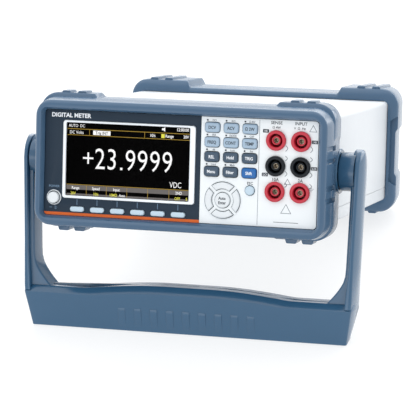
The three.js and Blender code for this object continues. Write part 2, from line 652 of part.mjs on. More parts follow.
function handle(standing) {
  const h = HANDLE;
  const y0 = PIVOT.y - h.endRadius - 1;
  const y1 = PIVOT.y + h.endRadius + 1;
  let body = alongY(handleFrontOutline(), y0, y1, 5)
    .intersect(alongX(handleSideOutline(standing), -h.outerPivot - 1, h.outerPivot + 1, 8));
  for (const side of [-1, 1]) {
    const inner = h.outerPivot - h.plate - h.spine - 8;
    const plateInside = h.outerGrip - h.plate;
    for (const end of [-1, 1]) {
      const [yNear, yFar] = end > 0 ? [PIVOT.y + h.spineHalfDepth, y1] : [y0, PIVOT.y - h.spineHalfDepth];
      const [x0, x1] = side > 0 ? [inner, plateInside] : [-plateInside, -inner];
      body = cut(body, block(x0, x1, yNear, yFar, -h.gripTop + h.fillet, h.endRadius + 2));
    }
    const boss = rodX(h.bossRadius, h.bossInner, h.outerPivot - h.bossSunk, PIVOT.y, PIVOT.z);
    body = join(body, side > 0 ? boss : mirrored(boss));
    const bore = rodX(PIVOT_BASE.pin + GAP, h.bossInner - 1, PIVOT_BASE.pinEnd + GAP, PIVOT.y, PIVOT.z, 24);
    body = cut(body, side > 0 ? bore : mirrored(bore));
  }
  return body;
}

function pivotBase() {
  const inner = COVER.halfWidth + GAP;
  return join(rodX(PIVOT_BASE.radius, inner, PIVOT_BASE.outer, PIVOT.y, PIVOT.z, 32),
    rodX(PIVOT_BASE.pin, inner, PIVOT_BASE.pinEnd, PIVOT.y, PIVOT.z, 24));
}

// ---- Inside the case -------------------------------------------------------------------------

/** The main board with its corner posts, chips and capacitors. */
function mainBoard(z) {
  const { halfWidth, front, back, thick, lift } = BOARD;
  const posts = [];
  for (const x of [-88, 88]) {
    for (const y of [40, 240]) posts.push(block(x - 3, x + 3, y - 3, y + 3, z - lift + GAP, z + 0.5));
  }
  const parts = [
    block(10, 40, 150, 180, z + 1, z + 5), block(-20, 0, 190, 212, z + 1, z + 9),
    rodZ(8, z + 1, z + 22, 60, 205), rodZ(8, z + 1, z + 22, 60, 225),
  ];
  return join(block(-halfWidth, halfWidth, front, back, z, z + thick), ...posts, ...parts);
}

function addInside() {
  const z = CENTRE_Z - COVER.halfHeight + COVER.wall + BOARD.lift;
  const { left, right, bottom, top } = KEY_BOARD;
  const lcd = LCD_MODULE;
  addPiece('main_board', mainBoard(z), plastic(COLOURS.board, 0.5));
  addPiece('transformer', join(block(-90, -40, 185, 240, z + 2, z + 46),
    block(-82, -48, 177, 248, z + 8, z + 38)), metal(COLOURS.core, 0.5));
  addPiece('input_shield', block(56, 97, 34, 120, z + 2, z + 24), metal(COLOURS.steel));
  addPiece('key_board', rectY(left, right, bottom, top, 1, KEY_BOARD.front, KEY_BOARD.back),
    plastic(COLOURS.board, 0.5));
  addPiece('lcd_module', rectY(lcd.x - lcd.halfWidth, lcd.x + lcd.halfWidth, lcd.z - lcd.halfHeight,
    lcd.z + lcd.halfHeight, 1, lcd.front, lcd.back), metal(COLOURS.steel, 0.5));
}

// ---- Assembly --------------------------------------------------------------------------------

const rearFoot = {
  y: REAR_BUMPER.back - BUMP.margin,
  z: CENTRE_Z - REAR_BUMPER.halfHeight - REAR_BUMPER.padRise - BUMP.rise,
};
const standingTilt = Math.atan2(HANDLE.length + rearFoot.z, rearFoot.y - PIVOT.y);

const keys = allKeys();
addPiece('front_bumper', frontBumper(), plastic(COLOURS.bumper));
addPiece('rear_bumper', rearBumper(), plastic(COLOURS.bumper));
addPiece('top_cover', topCover(), plastic(COLOURS.chassis));
addPiece('base_tray', caseShell(-1), plastic(COLOURS.chassis));
addPiece('rear_panel', rearPanel(), metal(COLOURS.sheet, 0.45));
addRearPieces();
addPiece('front_fascia', fascia(keys), plastic(COLOURS.fascia));
addPiece('display_panel', displayOverlay(keys), plastic(COLOURS.panel));
addPiece('display_frame', displayFrame(), metal(COLOURS.silver));
addPiece('display_window', screenRect(SCREEN_OPENING, -GAP, 0.6, 2.2), plastic(COLOURS.window, 0.1));
keys.forEach((key) => addPiece(key.name, keySolid(key), key.material));
JACK_ROWS.forEach((z, row) => {
  JACK_COLUMNS.forEach((x, column) => {
    addPiece(JACK_NAMES[row][column], jack(x, z), plastic(row === 1 ? COLOURS.black : COLOURS.red));
  });
});
addPiece('pivot_base_right', pivotBase(), plastic(COLOURS.handle));
addPiece('pivot_base_left', mirrored(pivotBase()), plastic(COLOURS.handle));
addPiece('handle', handle(standingTilt), plastic(COLOURS.handle));
addInside();

// Tip the case back until the handle and the rear feet share one floor, then centre it there.
chassis.rotation.x = -standingTilt;
instrument.updateMatrixWorld(true);
const extent = new THREE.Box3().setFromObject(instrument, true);
const middle = extent.getCenter(new THREE.Vector3());
chassis.position.set(-middle.x, -middle.y, -extent.min.z);

export default instrument;
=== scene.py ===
"""The looks of a bench multimeter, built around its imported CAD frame.

Lengths are in millimetres in the chassis frame: X to the right, Y from the front panel into the
case, Z up, origin in the middle of the front panel. CHASSIS turns them into the row frame.
"""
import json
from math import asin, cos, degrees, hypot, pi, radians, sin, sqrt

import bmesh
import bpy
from mathutils import Matrix, Vector


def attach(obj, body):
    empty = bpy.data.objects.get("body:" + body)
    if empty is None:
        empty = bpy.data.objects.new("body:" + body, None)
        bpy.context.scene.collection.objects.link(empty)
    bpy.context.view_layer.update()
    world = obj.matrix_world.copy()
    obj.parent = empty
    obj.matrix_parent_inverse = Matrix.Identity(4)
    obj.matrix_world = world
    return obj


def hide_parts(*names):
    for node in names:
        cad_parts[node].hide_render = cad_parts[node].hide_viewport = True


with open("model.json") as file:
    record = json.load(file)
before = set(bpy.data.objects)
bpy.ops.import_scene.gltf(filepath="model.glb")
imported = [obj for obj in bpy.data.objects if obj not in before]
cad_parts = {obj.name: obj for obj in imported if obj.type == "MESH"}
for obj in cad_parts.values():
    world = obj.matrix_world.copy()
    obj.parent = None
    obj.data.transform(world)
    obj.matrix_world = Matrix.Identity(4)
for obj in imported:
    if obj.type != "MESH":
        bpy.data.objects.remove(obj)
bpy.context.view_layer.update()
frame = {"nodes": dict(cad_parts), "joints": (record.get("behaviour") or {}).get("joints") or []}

# ---- Frame ----

PIVOT_Y = 39.0
joints = {joint["name"]: joint for joint in frame["joints"]}
pivot = Vector(joints["handle_swing"]["pos_m"])
rightward = Vector((1.0, 0.0, 0.0))
inward = Vector(joints["esc_key_press"]["axis"]).normalized()
upward = rightward.cross(inward)
chassis_axes = Matrix((rightward, inward, upward)).transposed()
CHASSIS = Matrix.Translation(pivot - inward * PIVOT_Y / 1000) @ (chassis_axes * 0.001).to_4x4()

# ---- Sizes shared with the CAD frame ----

CENTRE_Z = -0.5
PANEL_HALF_WIDTH, PANEL_HALF_HEIGHT, PANEL_CORNER = 106.3, 40.2, 2.6
COVER_HALF_WIDTH, COVER_HALF_HEIGHT, COVER_WALL, COVER_CORNER = 106.8, 40.9, 1.6, 3.0
COVER_FRONT, COVER_BACK, COVER_SPLIT = 4.0, 282.0, -30.5
CASE_OPENING = (COVER_HALF_WIDTH + 0.4, COVER_HALF_HEIGHT + 0.4)
DIVIDE_X = 16.4
KEY_BACK, KEY_FRONT = 4.2, -1.7
GAP, KEY_GAP = 0.3, 0.5
PRINT_Y, INK_THICK = -0.05, 0.04
SCREEN_FRAME = (-91.6, 12.3, -27.1, 31.9)
SCREEN_OPENING = (-89.2, 8.0, -25.1, 30.3)
NAV_X, NAV_Z = 34.2, -22.4
POWER_PLACE, SOFT_PITCH, SOFT_COUNT = (-98.2, -27.1), 15.9, 6
JACK_COLUMNS = (74.04, 93.09)
JACK_ROWS = (24.08, 5.03, -14.02)
REAR_Y = 277.8
FRONT_BUMPER = {"half_width": 114.6, "half_height": 49.2, "corner": 14.0, "rise": 2.9, "side": 0.6,
                "rise_below": 1.2, "pad_start": 69.8, "side_top": 28.0, "side_bottom": -15.0}
REAR_BUMPER = {"half_width": 113.4, "half_height": 46.0, "corner": 14.0, "rise": 5.3, "side": 1.8,
               "pad_start": 64.0, "side_top": 19.0, "side_bottom": -22.0}
REAR_LIP, REAR_TAPER_START, REAR_TAPER_END, REAR_TAPER = 245.0, 258.0, 293.0, 5.5

# ---- Shapes: a solid is a list of points and a list of faces ----


def arc(x, z, radius, start, end, steps):
    """Points on an arc about (x, z), in degrees."""
    turns = [radians(start + (end - start) * i / steps) for i in range(steps + 1)]
    return [(x + radius * cos(t), z + radius * sin(t)) for t in turns]


def circle(x, z, radius, steps=40):
    return arc(x, z, radius, 0, 360, steps)[:-1]


def rounded(left, right, bottom, top, radius, steps=6):
    """A rounded rectangle, anticlockwise."""
    return (arc(right - radius, bottom + radius, radius, -90, 0, steps)
            + arc(right - radius, top - radius, radius, 0, 90, steps)
            + arc(left + radius, top - radius, radius, 90, 180, steps)
            + arc(left + radius, bottom + radius, radius, 180, 270, steps))


def grown(x, z, half_width, half_height, grow, corner, steps):
    """A rounded rectangle about (x, z), larger by grow on each side."""
    return rounded(x - half_width - grow, x + half_width + grow, z - half_height - grow,
                   z + half_height + grow, corner, steps)


def loft(rings, closed=False):
    """A skin through rings of equal counts, capped at both ends unless it closes on itself."""
    count = len(rings[0])
    points = [point for ring in rings for point in ring]
    faces = []
    for k in range(len(rings) if closed else len(rings) - 1):
        near, far = k * count, (k + 1) % len(rings) * count
        for i in range(count):
            j = (i + 1) % count
            faces.append((near + i, far + i, far + j, near + j))
    if not closed:
        faces.append(tuple(range(count)))
        faces.append(tuple(reversed(range((len(rings) - 1) * count, len(rings) * count))))
    return points, faces


def stacked(rows, closed=False):
    """A skin through (outline, depth) rows."""
    return loft([[(x, y, z) for x, z in outline] for outline, y in rows], closed)


def prism(outline, y0, y1):
    return stacked([(outline, y0), (outline, y1)])


def cap(shape, front, back, radius):
    """A key: shape(grow) extruded from front to back with a rounded front edge."""
    steps = 4
    turns = [radians(90 * i / steps) for i in range(steps + 1)]
    rows = [(shape(-radius * (1 - sin(turn))), front + radius * (1 - cos(turn))) for turn in turns]
    return stacked(rows + [(shape(0), back)])


def slab(outlines, y0, y1, bevel=0.25, steps=2):
    """A plate with rounded edges from y0 to y1: the first outline is its edge, the rest are holes."""
    curve = bpy.data.curves.new("outline", "CURVE")
    curve.dimensions = "2D"
    curve.fill_mode = "BOTH"
    curve.extrude = (y1 - y0) / 2 - bevel
    curve.bevel_depth = bevel
    curve.bevel_resolution = steps
    curve.offset = -bevel
    for outline in outlines:
        spline = curve.splines.new("POLY")
        spline.points.add(len(outline) - 1)
        for point, (x, z) in zip(spline.points, outline):
            point.co = (x, z, 0, 1)
        spline.use_cyclic_u = True
    return from_curve(curve, (y0 + y1) / 2)


def placed(name, data):
    """A new object in the scene."""
    thing = bpy.data.objects.new(name, data)
    bpy.context.scene.collection.objects.link(thing)
    return thing


def finished_mesh(thing):
    """The mesh of an object with its curve settings and modifiers applied."""
    graph = bpy.context.evaluated_depsgraph_get()
    return bpy.data.meshes.new_from_object(thing.evaluated_get(graph))


def from_curve(curve, y):
    """The mesh of a flat curve or text, standing in the panel's plane at depth y."""
    helper = placed("helper", curve)
    mesh = finished_mesh(helper)
    points = [(v.co.x, y - v.co.z, v.co.y) for v in mesh.vertices]
    faces = [tuple(p.vertices) for p in mesh.polygons]
    bpy.data.objects.remove(helper)
    bpy.data.meshes.remove(mesh)
    return points, faces


def lettering(words, x, z, height, y=PRINT_Y, align="CENTER", stretch=1.0, weight=0.012):
    """Words with capitals of the given height, centred on z."""
    cap_height = 0.70
    curve = bpy.data.curves.new("words", "FONT")
    curve.body = words
    curve.size = height / cap_height
    curve.align_x = align
    curve.extrude = INK_THICK / 2
    curve.offset = weight * curve.size
    curve.resolution_u = 3
    points, faces = from_curve(curve, y)
    return [(x + px * stretch, py, z - height / 2 + pz) for px, py, pz in points], faces


def stroke(path, width, closed=False):
    """A flat line of the given width through (x, z) points."""
    solids = []
    ends = path[1:] + path[:1] if closed else path[1:]
    for (x0, z0), (x1, z1) in zip(path, ends):
        length = hypot(x1 - x0, z1 - z0)
        ux, uz = (x1 - x0) / length * width / 2, (z1 - z0) / length * width / 2
        corners = [(x0 - ux - uz, z0 - uz + ux), (x0 - ux + uz, z0 - uz - ux),
                   (x1 + ux + uz, z1 + uz - ux), (x1 + ux - uz, z1 + uz + ux)]
        solids.append(prism(corners, PRINT_Y, PRINT_Y + INK_THICK))
    return merge(*solids)


def turned(profile, x, z, steps=48):
    """A (radius, y) profile turned about the line through (x, z) along Y."""
    rings = []
    for i in range(steps):
        turn = 2 * pi * i / steps
        rings.append([(x + r * cos(turn), y, z + r * sin(turn)) for r, y in profile])
    return loft(rings, closed=True)


def about_pivot(profile, side):
    """A (radius, x) profile turned about the line through both pivots, mirrored by side."""
    points, faces = turned(profile, PIVOT_Y, 0.0, 64)
    return [(side * x, y, z) for y, x, z in points], faces


def brick(x0, x1, y0, y1, z0, z1, bevel):
    return slab([rounded(x0, x1, z0, z1, bevel, 3)], y0, y1, bevel, 1)


def merge(*solids):
    points, faces = [], []
    for part_points, part_faces in solids:
        base = len(points)
        points += part_points
        faces += [tuple(base + i for i in face) for face in part_faces]
    return points, faces


def smooth(mesh, sharp):
    mesh.shade_smooth()
    mesh.set_sharp_from_angle(angle=radians(sharp))
    return mesh


def as_mesh(name, parts, sharp=32):
    """One mesh from (solid, material) parts, cleaned, facing out and smooth below the sharp angle."""
    mesh = bpy.data.meshes.new(name)
    for _, material in parts:
        mesh.materials.append(material)
    points, faces = merge(*(solid for solid, _ in parts))
    mesh.from_pydata(points, [], faces)
    slots = [index for index, (solid, _) in enumerate(parts) for _ in solid[1]]
    mesh.polygons.foreach_set("material_index", slots)
    work = bmesh.new()
    work.from_mesh(mesh)
    bmesh.ops.remove_doubles(work, verts=work.verts, dist=0.0005)
    bmesh.ops.dissolve_degenerate(work, edges=work.edges, dist=0.0005)
    bmesh.ops.recalc_face_normals(work, faces=work.faces)
    work.to_mesh(mesh)
    work.free()
    return smooth(mesh, sharp)


def add(name, parts, replaces=None, body="chassis", cutters=None, sharp=32):
    """A piece of the object, attached to its body. One that replaces a CAD node hides that node.

    cutters are solids taken out of it."""
    mesh = as_mesh(name, parts, sharp)
    if cutters:
        mesh = carved(mesh, cutters, sharp)
    mesh.transform(CHASSIS)
    piece = placed(name, mesh)
    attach(piece, body)
    if replaces:
        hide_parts(replaces)


def carved(mesh, cutters, sharp):
    """The mesh with the cutters taken out by an exact boolean."""
    tool = placed("cutter", as_mesh("cutter", [(merge(*cutters), mesh.materials[0])]))
    work = placed("work", mesh)
    modifier = work.modifiers.new("cut", "BOOLEAN")
    modifier.operation = "DIFFERENCE"
    modifier.solver = "EXACT"
    modifier.use_self = True
    modifier.object = tool
    result = finished_mesh(work)
    bpy.data.objects.remove(tool)
    bpy.data.objects.remove(work)
    return smooth(result, sharp)


# ---- Materials ----


def shade(colour, factor):
    return tuple(c * factor for c in colour) + (1.0,)


def wire(tree, node, inputs):
    """Sets a node's inputs to values, or links them to other nodes' outputs."""
    for socket, value in inputs.items():
        if isinstance(value, bpy.types.NodeSocket):
            tree.links.new(value, node.inputs[socket])
        else:
            node.inputs[socket].default_value = value


def wired(tree, kind, output, inputs):
    """The named output of a new shader node."""
    node = tree.nodes.new(f"ShaderNode{kind}")
    if kind == "Mix":
        node.data_type = "RGBA"
    wire(tree, node, inputs)
    return node.outputs[output]


def surface(name, colour, roughness, grain=0.02, grain_size=0.5, mottle=0.04, metallic=0.0,
            spread=0.08, specular=0.5, brushed=False, highlight_strength=0.0):
    """Moulded plastic, paint or metal: mottled colour, uneven gloss and a fine grain in the bump."""
    material = bpy.data.materials.new(name)
    material.use_nodes = True
    tree = material.node_tree
    place = wired(tree, "TexCoord", "Object", {})
    stretch = (0.04 if brushed else 1.0, 1.0, 1.0)
    stretched = wired(tree, "Mapping", "Vector", {"Scale": stretch, "Vector": place})

    def noise(scale, detail, source=place):
        return wired(tree, "TexNoise", "Fac", {"Scale": scale, "Detail": detail, "Vector": source})

    tint = wired(tree, "Mix", "Result", {"Factor": noise(45.0, 4.0), "A": shade(colour, 1 - mottle),
                                         "B": shade(colour, 1 + mottle)})
    # Painted highlight: the convex edges are made lighter in the base colour.
    if highlight_strength:
        tint = painted_edge_highlight(tree, tint, colour, highlight_strength)
    gloss = wired(tree, "MapRange", "Result", {"Value": noise(160.0, 5.0), "To Min": roughness - spread,
                                               "To Max": roughness + spread})
    bump = wired(tree, "Bump", "Normal", {"Strength": 0.35, "Distance": grain / 1000,
                                          "Height": noise(1000.0 / grain_size, 3.0, stretched)})
    wire(tree, tree.nodes["Principled BSDF"], {"Metallic": metallic, "Specular IOR Level": specular,
                                               "Base Color": tint, "Roughness": gloss, "Normal": bump})
    return material


def painted_edge_highlight(tree, tint, colour, highlight_strength):
    """Paints a highlight into the colour: lighter edges where the surface is most convex, standing in for lit
    edge lines.
    """
    convex = wired(tree, "NewGeometry", "Pointiness", {})
    edge = wired(tree, "MapRange", "Result", {"Value": convex, "From Min": 0.53, "From Max": 0.68,
                                              "To Max": highlight_strength})
    highlight_tint = shade([c * 0.75 + 0.25 for c in colour], 1.0)
    return wired(tree, "Mix", "Result", {"Factor": edge, "A": tint, "B": highlight_tint})


def glowing(name, colour, strength):
    """Lit pixels of the display, with a faint pixel grid in their brightness."""
    material = surface(name, (0.01, 0.01, 0.01), 0.4, specular=0.05)
    tree = material.node_tree
    place = wired(tree, "TexCoord", "Object", {})
    grid = wired(tree, "TexNoise", "Fac", {"Scale": 5000.0, "Vector": place})
    level = wired(tree, "MapRange", "Result", {"Value": grid, "To Min": strength * 0.9,
                                               "To Max": strength * 1.1})
    wire(tree, tree.nodes["Principled BSDF"], {"Emission Color": colour + (1.0,),
                                               "Emission Strength": level})
    return material


def clear(name):
    """The display window: see-through with a gloss that grows at grazing angles."""
    material = surface(name, (0.9, 0.93, 0.95), 0.1, grain=0.001, spread=0.03)
    tree = material.node_tree
    facing = wired(tree, "LayerWeight", "Facing", {})
    share = wired(tree, "MapRange", "Result", {"Value": facing, "From Min": 0.25, "To Max": 0.7})
    through = wired(tree, "BsdfTransparent", "BSDF", {})
    gloss = wired(tree, "BsdfGlossy", "BSDF", {"Roughness": 0.2})
    mix = wired(tree, "MixShader", "Shader", {"Fac": share, 1: through, 2: gloss})
    wire(tree, tree.nodes["Material Output"], {"Surface": mix})
    return material


def key_plastic(name, colour, roughness=0.34, highlight_strength=0.0):
    return surface(name, colour, roughness, grain=0.01, grain_size=0.25, highlight_strength=highlight_strength)


# The bumper and handle plastics carry a painted highlight along their convex edges.
BUMPER = surface("bumper_plastic", (0.052, 0.112, 0.195), 0.22, grain=0.008, grain_size=0.45, highlight_strength=0.12,
                 spread=0.04)
HANDLE = surface("handle_plastic", (0.028, 0.095, 0.182), 0.17, grain=0.006, grain_size=0.45, highlight_strength=0.08,
                 specular=0.6, spread=0.04)
CASE = surface("case_paint", (0.64, 0.665, 0.69), 0.42, grain_size=0.7, mottle=0.012)
FASCIA = surface("fascia_plastic", (0.83, 0.865, 0.885), 0.40, grain=0.01, grain_size=0.3, mottle=0.01)
PANEL = surface("display_panel_film", (0.009, 0.024, 0.045), 0.38, grain=0.012, grain_size=0.25,
                specular=0.25)
SILVER = surface("silver_trim", (0.80, 0.84, 0.88), 0.32, grain=0.008, grain_size=0.2, metallic=0.25)
ORANGE = surface("orange_print", (0.68, 0.118, 0.012), 0.45, grain=0.01, grain_size=0.3, specular=0.3)
RED = surface("jack_red", (0.50, 0.020, 0.042), 0.36, grain=0.01, grain_size=0.3)
BLACK = surface("black_plastic", (0.006, 0.009, 0.013), 0.34, grain=0.015, grain_size=0.3, specular=0.25)
# The light, dark and soft keys carry a painted highlight along their convex edges.
LIGHT_KEY = key_plastic("light_key_plastic", (0.34, 0.455, 0.575), highlight_strength=0.7)
DARK_KEY = key_plastic("dark_key_plastic", (0.036, 0.070, 0.115), 0.36, highlight_strength=0.4)
BLUE_KEY = key_plastic("blue_key_plastic", (0.001, 0.110, 0.37))
SOFT_KEY = key_plastic("soft_key_plastic", (0.50, 0.63, 0.73), highlight_strength=0.8)
WHITE_KEY = key_plastic("white_key_plastic", (0.72, 0.755, 0.78))
WHITE_INK = surface("white_ink", (0.85, 0.88, 0.92), 0.5)
DARK_INK, GREY_INK, DIM_INK = (surface(name, colour, 0.5, specular=0.2) for name, colour in (
    ("dark_ink", (0.035, 0.045, 0.06)), ("grey_ink", (0.14, 0.165, 0.20)), ("dim_ink", (0.16, 0.25, 0.36))))
PLATED = surface("plated_steel", (0.62, 0.63, 0.64), 0.28, grain=0.006, grain_size=0.3, metallic=1.0,
                 brushed=True)
BRASS = surface("nickelled_contact", (0.42, 0.37, 0.30), 0.25, grain=0.005, grain_size=0.3, metallic=1.0)
SHEET = surface("rear_sheet", (0.60, 0.64, 0.68), 0.40, grain=0.015, grain_size=0.6, mottle=0.02)
BOARD = surface("circuit_board", (0.012, 0.10, 0.04), 0.35, grain=0.05, grain_size=2.0, mottle=0.15)
CORE = surface("transformer_core", (0.16, 0.13, 0.10), 0.45, grain=0.05, grain_size=0.8, metallic=0.6)
SELECTOR_RED = surface("red_plastic", (0.42, 0.03, 0.02), 0.4)
SCREEN = surface("lcd_black", (0.0006, 0.0005, 0.0006), 0.3, grain=0.002, specular=0.015)
GLASS = clear("display_glass")
LIT_WHITE = glowing("lit_white", (1.0, 1.0, 1.0), 1.0)
LIT_AMBER = glowing("lit_amber", (0.85, 0.55, 0.08), 0.5)
LIT_YELLOW = glowing("lit_yellow", (0.95, 0.9, 0.1), 0.85)
LIT_GREY = glowing("lit_grey", (0.5, 0.46, 0.44), 0.30)

# ---- Bumpers ----


def ease(share):
    return share * share * (3 - 2 * share)


def clamped(share):
    return max(0.0, min(1.0, share))


def bumper_outline(b, inset=0.0, lift=0.0):
    """A rounded rectangle whose corners carry raised pads, lifted by a share of their full height."""
    half_width = b["half_width"] - inset
    half_height = b["half_height"] - inset
    rises = {1: b["rise"] * lift, -1: b.get("rise_below", b["rise"]) * lift}
    side = b["side"] * lift
    radius = b["corner"] - inset
    flank = 4.0

    def corner(sign_x, sign_z, start):
        x = sign_x * (half_width + side - radius)
        z = sign_z * (half_height + rises[sign_z] - radius)
        return arc(x, z, radius, start, start + 90, 12)

    def ramp(point, upwards):
        """point(share) along the flank of a pad, where share is 1 on the pad."""
        return [point(i / 6 if upwards else 1 - i / 6) for i in range(7)]

    def shoulder(sign_x, sign_z, upwards):
        return ramp(lambda share: (sign_x * (b["pad_start"] - 1 + flank * share),
                                   sign_z * (half_height + rises[sign_z] * ease(share))), upwards)

    def side_shoulder(sign_x, z_pad, direction, upwards):
        return ramp(lambda share: (sign_x * (half_width + side * ease(share)),
                                   z_pad - direction * flank * (1 - share)), upwards)

    points = corner(1, 1, 0)
    points += shoulder(1, 1, False) + shoulder(-1, 1, True)
    points += corner(-1, 1, 90)
    points += side_shoulder(-1, b["side_top"], 1, False) + side_shoulder(-1, b["side_bottom"], -1, True)
    points += corner(-1, -1, 180)
    points += shoulder(-1, -1, False) + shoulder(1, -1, True)
    points += corner(1, -1, 270)
    points += side_shoulder(1, b["side_bottom"], -1, False) + side_shoulder(1, b["side_top"], 1, True)
    return [(x, CENTRE_Z + z) for x, z in points]


def plain_outline(b, half_width, half_height, radius):
    return bumper_outline({**b, "half_width": half_width, "half_height": half_height, "corner": radius,
                           "rise": 0.0, "rise_below": 0.0, "side": 0.0})


def bump_ridges(pad_height, sign_z, y0, y1, half_base=4.4, half_top=2.6):
    """Two rounded ridges on each corner pad above (sign_z 1) or below (-1)."""
    root, rise, bevel = 3.0, 1.5, 0.7
    ridges = []
    for sign_x in (-1, 1):
        for centre in (83.2, 95.8):
            x = sign_x * centre
            low, shoulder, high = pad_height - root, pad_height + rise * 0.55, pad_height + rise
            outline = [(x - half_base, low), (x + half_base, low), (x + half_top + bevel, shoulder),
                       (x + half_top, high), (x - half_top, high), (x - half_top - bevel, shoulder)]
            outline = [(px, CENTRE_Z + sign_z * pz) for px, pz in outline]
            ridges.append(slab([outline], y0, y1, bevel, 3))
    return ridges


def front_bumper():
    """The front bumper: a drafted rim, then raised pads, with a plain opening for the case."""
    b = FRONT_BUMPER
    front, draft_end, pad_front, back = -5.0, 12.0, 13.0, 36.0
    draft, edge = 1.4, 4.2
    opening = plain_outline(b, *CASE_OPENING, COVER_CORNER)
    rings = [(plain_outline(b, 108.1, 41.7, 4.4), front + 0.35),
             (plain_outline(b, 108.4, 42.0, 4.7), front)]
    for i in range(8):
        turn = radians(90 * i / 7)
        rings.append((bumper_outline(b, draft + edge * (1 - sin(turn))), front + edge * (1 - cos(turn))))
    for i in range(1, 6):
        share = i / 5
        y = front + edge + (draft_end - front - edge) * share
        rings.append((bumper_outline(b, draft * (1 - share) ** 1.4), y))
    for y, lift in ((0, 0.0), (0.5, 0.3), (1.1, 0.75), (2, 1.0)):
        rings.append((bumper_outline(b, 0, lift), pad_front + y))
    for y, inset in ((back - 3.2, 0), (back - 2, 0.3), (back - 0.9, 0.95), (back - 0.2, 1.8), (back, 2.6)):
        rings.append((bumper_outline(b, inset, 1.0), y))
    rings += [(opening, back), (opening, 0.0),
              (plain_outline(b, PANEL_HALF_WIDTH, PANEL_HALF_HEIGHT, PANEL_CORNER), 0.0)]
    pad_height = b["half_height"] + b["rise"]
    return merge(stacked(rings, closed=True), *bump_ridges(pad_height, 1, pad_front + 4, back - 4),
                 *bump_ridges(pad_height, -1, pad_front + 4, back - 4, half_base=5.2, half_top=3.2))


def front_bumper_cutters():
    """Side grooves of the front bumper and its round notches about the handle pivots."""
    groove_floor, groove_depth, half_groove = 112.9, 4, 1.9
    notch = [(0.01, 107.0), (0.01, 125.0), (18.0, 125.0), (18.0, 107.0)]
    cutters = []
    for side in (-1, 1):
        for height in (19.2, 9.8, -10.2, -19.4):
            edge = side * groove_floor
            x0, x1 = sorted((edge, edge + side * groove_depth))
            cutters.append(brick(x0, x1, -3.4, 20, height - half_groove, height + half_groove, 0.6))
        cutters.append(about_pivot(notch, side))
    return cutters


def rear_bumper():
    """The rear bumper narrows towards the back and laps over the rear edges of the case."""
    b = REAR_BUMPER
    front, back, edge, foot = REAR_LIP, 297.0, 3.4, COVER_BACK + 0.3
    inside = plain_outline(b, *CASE_OPENING, COVER_CORNER)
    window = plain_outline(b, CASE_OPENING[0] - 3, CASE_OPENING[1] - 3, COVER_CORNER)

    def narrowed(y):
        share = clamped((y - REAR_TAPER_START) / (REAR_TAPER_END - REAR_TAPER_START))
        return {**b, "half_width": b["half_width"] - REAR_TAPER * share}

    rings = [(inside, front)]
    for inset, y, lift in ((4.0, 0, 0.0), (2.7, 0.35, 0.3), (1.5, 1.2, 0.65), (0.6, 2.6, 0.9),
                           (0.1, 4.4, 1.0), (0.0, 6, 1.0)):
        rings.append((bumper_outline(b, inset, lift), front + y))
    for y in (266.0, 275.0, 284.0):
        rings.append((bumper_outline(narrowed(y), 0, 1.0), y))
    for i in range(6):
        turn = radians(90 * i / 5)
        y = back - edge + edge * sin(turn)
        rings.append((bumper_outline(narrowed(y), 2.2 * (1 - cos(turn)), 1.0), y))
    rings += [(window, back), (window, foot), (inside, foot)]
    pad_height = b["half_height"] + b["rise"]
    return merge(stacked(rings, closed=True), *bump_ridges(pad_height, 1, front + 4, back - 4),
                 *bump_ridges(pad_height, -1, front + 4, back - 4))


def rear_bumper_cutters():
    """Scoops in the front edge of the rear bumper, between its side pads."""
    cutters = []
    inner, outer, depth = COVER_HALF_WIDTH + 2.6, REAR_BUMPER["half_width"] + 8.0, 4.5
    for side in (-1, 1):
        outline = [(inner, 25.0), (outer, 33.0), (outer, -33.0), (inner, -25.0)][::side]
        outline = [(side * x, CENTRE_Z + z) for x, z in outline]
        cutters.append(prism(outline, REAR_LIP - 2.0, REAR_LIP + depth))
    return cutters


add("bumper_front_shell", [(front_bumper(), BUMPER)], "front_bumper", cutters=front_bumper_cutters())
add("bumper_rear_shell", [(rear_bumper(), BUMPER)], "rear_bumper", cutters=rear_bumper_cutters())

# ---- Case covers ----


def cover_outline(sign):
    """The section of the top cover (sign 1) or the base tray (sign -1)."""
    half_width, outer_z, wall, radius = COVER_HALF_WIDTH, COVER_HALF_HEIGHT, COVER_WALL, COVER_CORNER
    split = (COVER_SPLIT - CENTRE_Z) if sign > 0 else -(COVER_SPLIT - GAP - CENTRE_Z)
    outer = arc(half_width - radius, outer_z - radius, radius, 0, 90, 8)
    outer += arc(-half_width + radius, outer_z - radius, radius, 90, 180, 8)
    inner = arc(-half_width + radius, outer_z - radius, radius - wall, 180, 90, 8)
    inner += arc(half_width - radius, outer_z - radius, radius - wall, 90, 0, 8)
    points = [(half_width, split)] + outer + [(-half_width, split), (-half_width + wall, split)]
    points += inner + [(half_width - wall, split)]
    return [(x, CENTRE_Z + sign * z) for x, z in points]


def vent_cutters():
    """A row of upright slots through the left wall."""
    first, pitch, half_slot = 92, 6, 1.2
    slots = []
    for i in range(14):
        y = first + i * pitch + half_slot
        slot = rounded(-half_slot, half_slot, -18, 6, 1.15, 4)
        slots.append(loft([[(x, y + py, pz) for py, pz in slot] for x in (-110.0, -103.0)]))
    return slots


cover, tray = (slab([cover_outline(sign)], COVER_FRONT, COVER_BACK, 0.12, 1) for sign in (1, -1))
add("cover_shell", [(cover, CASE)], "top_cover", cutters=vent_cutters())
add("base_shell", [(tray, CASE)], "base_tray")

# ---- Keys: their outlines are also the openings of the front panel ----


def rect_key(x, z, half_width, half_height, corner):
    return lambda grow=0.0: grown(x, z, half_width, half_height, grow, corner + grow, 6)


def disc_key(x, z, radius):
    return lambda grow=0.0: circle(x, z, radius + grow, 48)


def arc_key(direction):
    """One quarter of the navigation ring."""
    def shape(grow=0.0):
        outer, inner, channel = 13.4 + grow, 8.7 - grow, 1.6 - grow
        outer_half = 45 - degrees(asin(channel / outer))
        inner_half = 45 - degrees(asin(channel / inner))
        return (arc(NAV_X, NAV_Z, outer, direction - outer_half, direction + outer_half, 14)
                + arc(NAV_X, NAV_Z, inner, direction + inner_half, direction - inner_half, 14))
    return shape


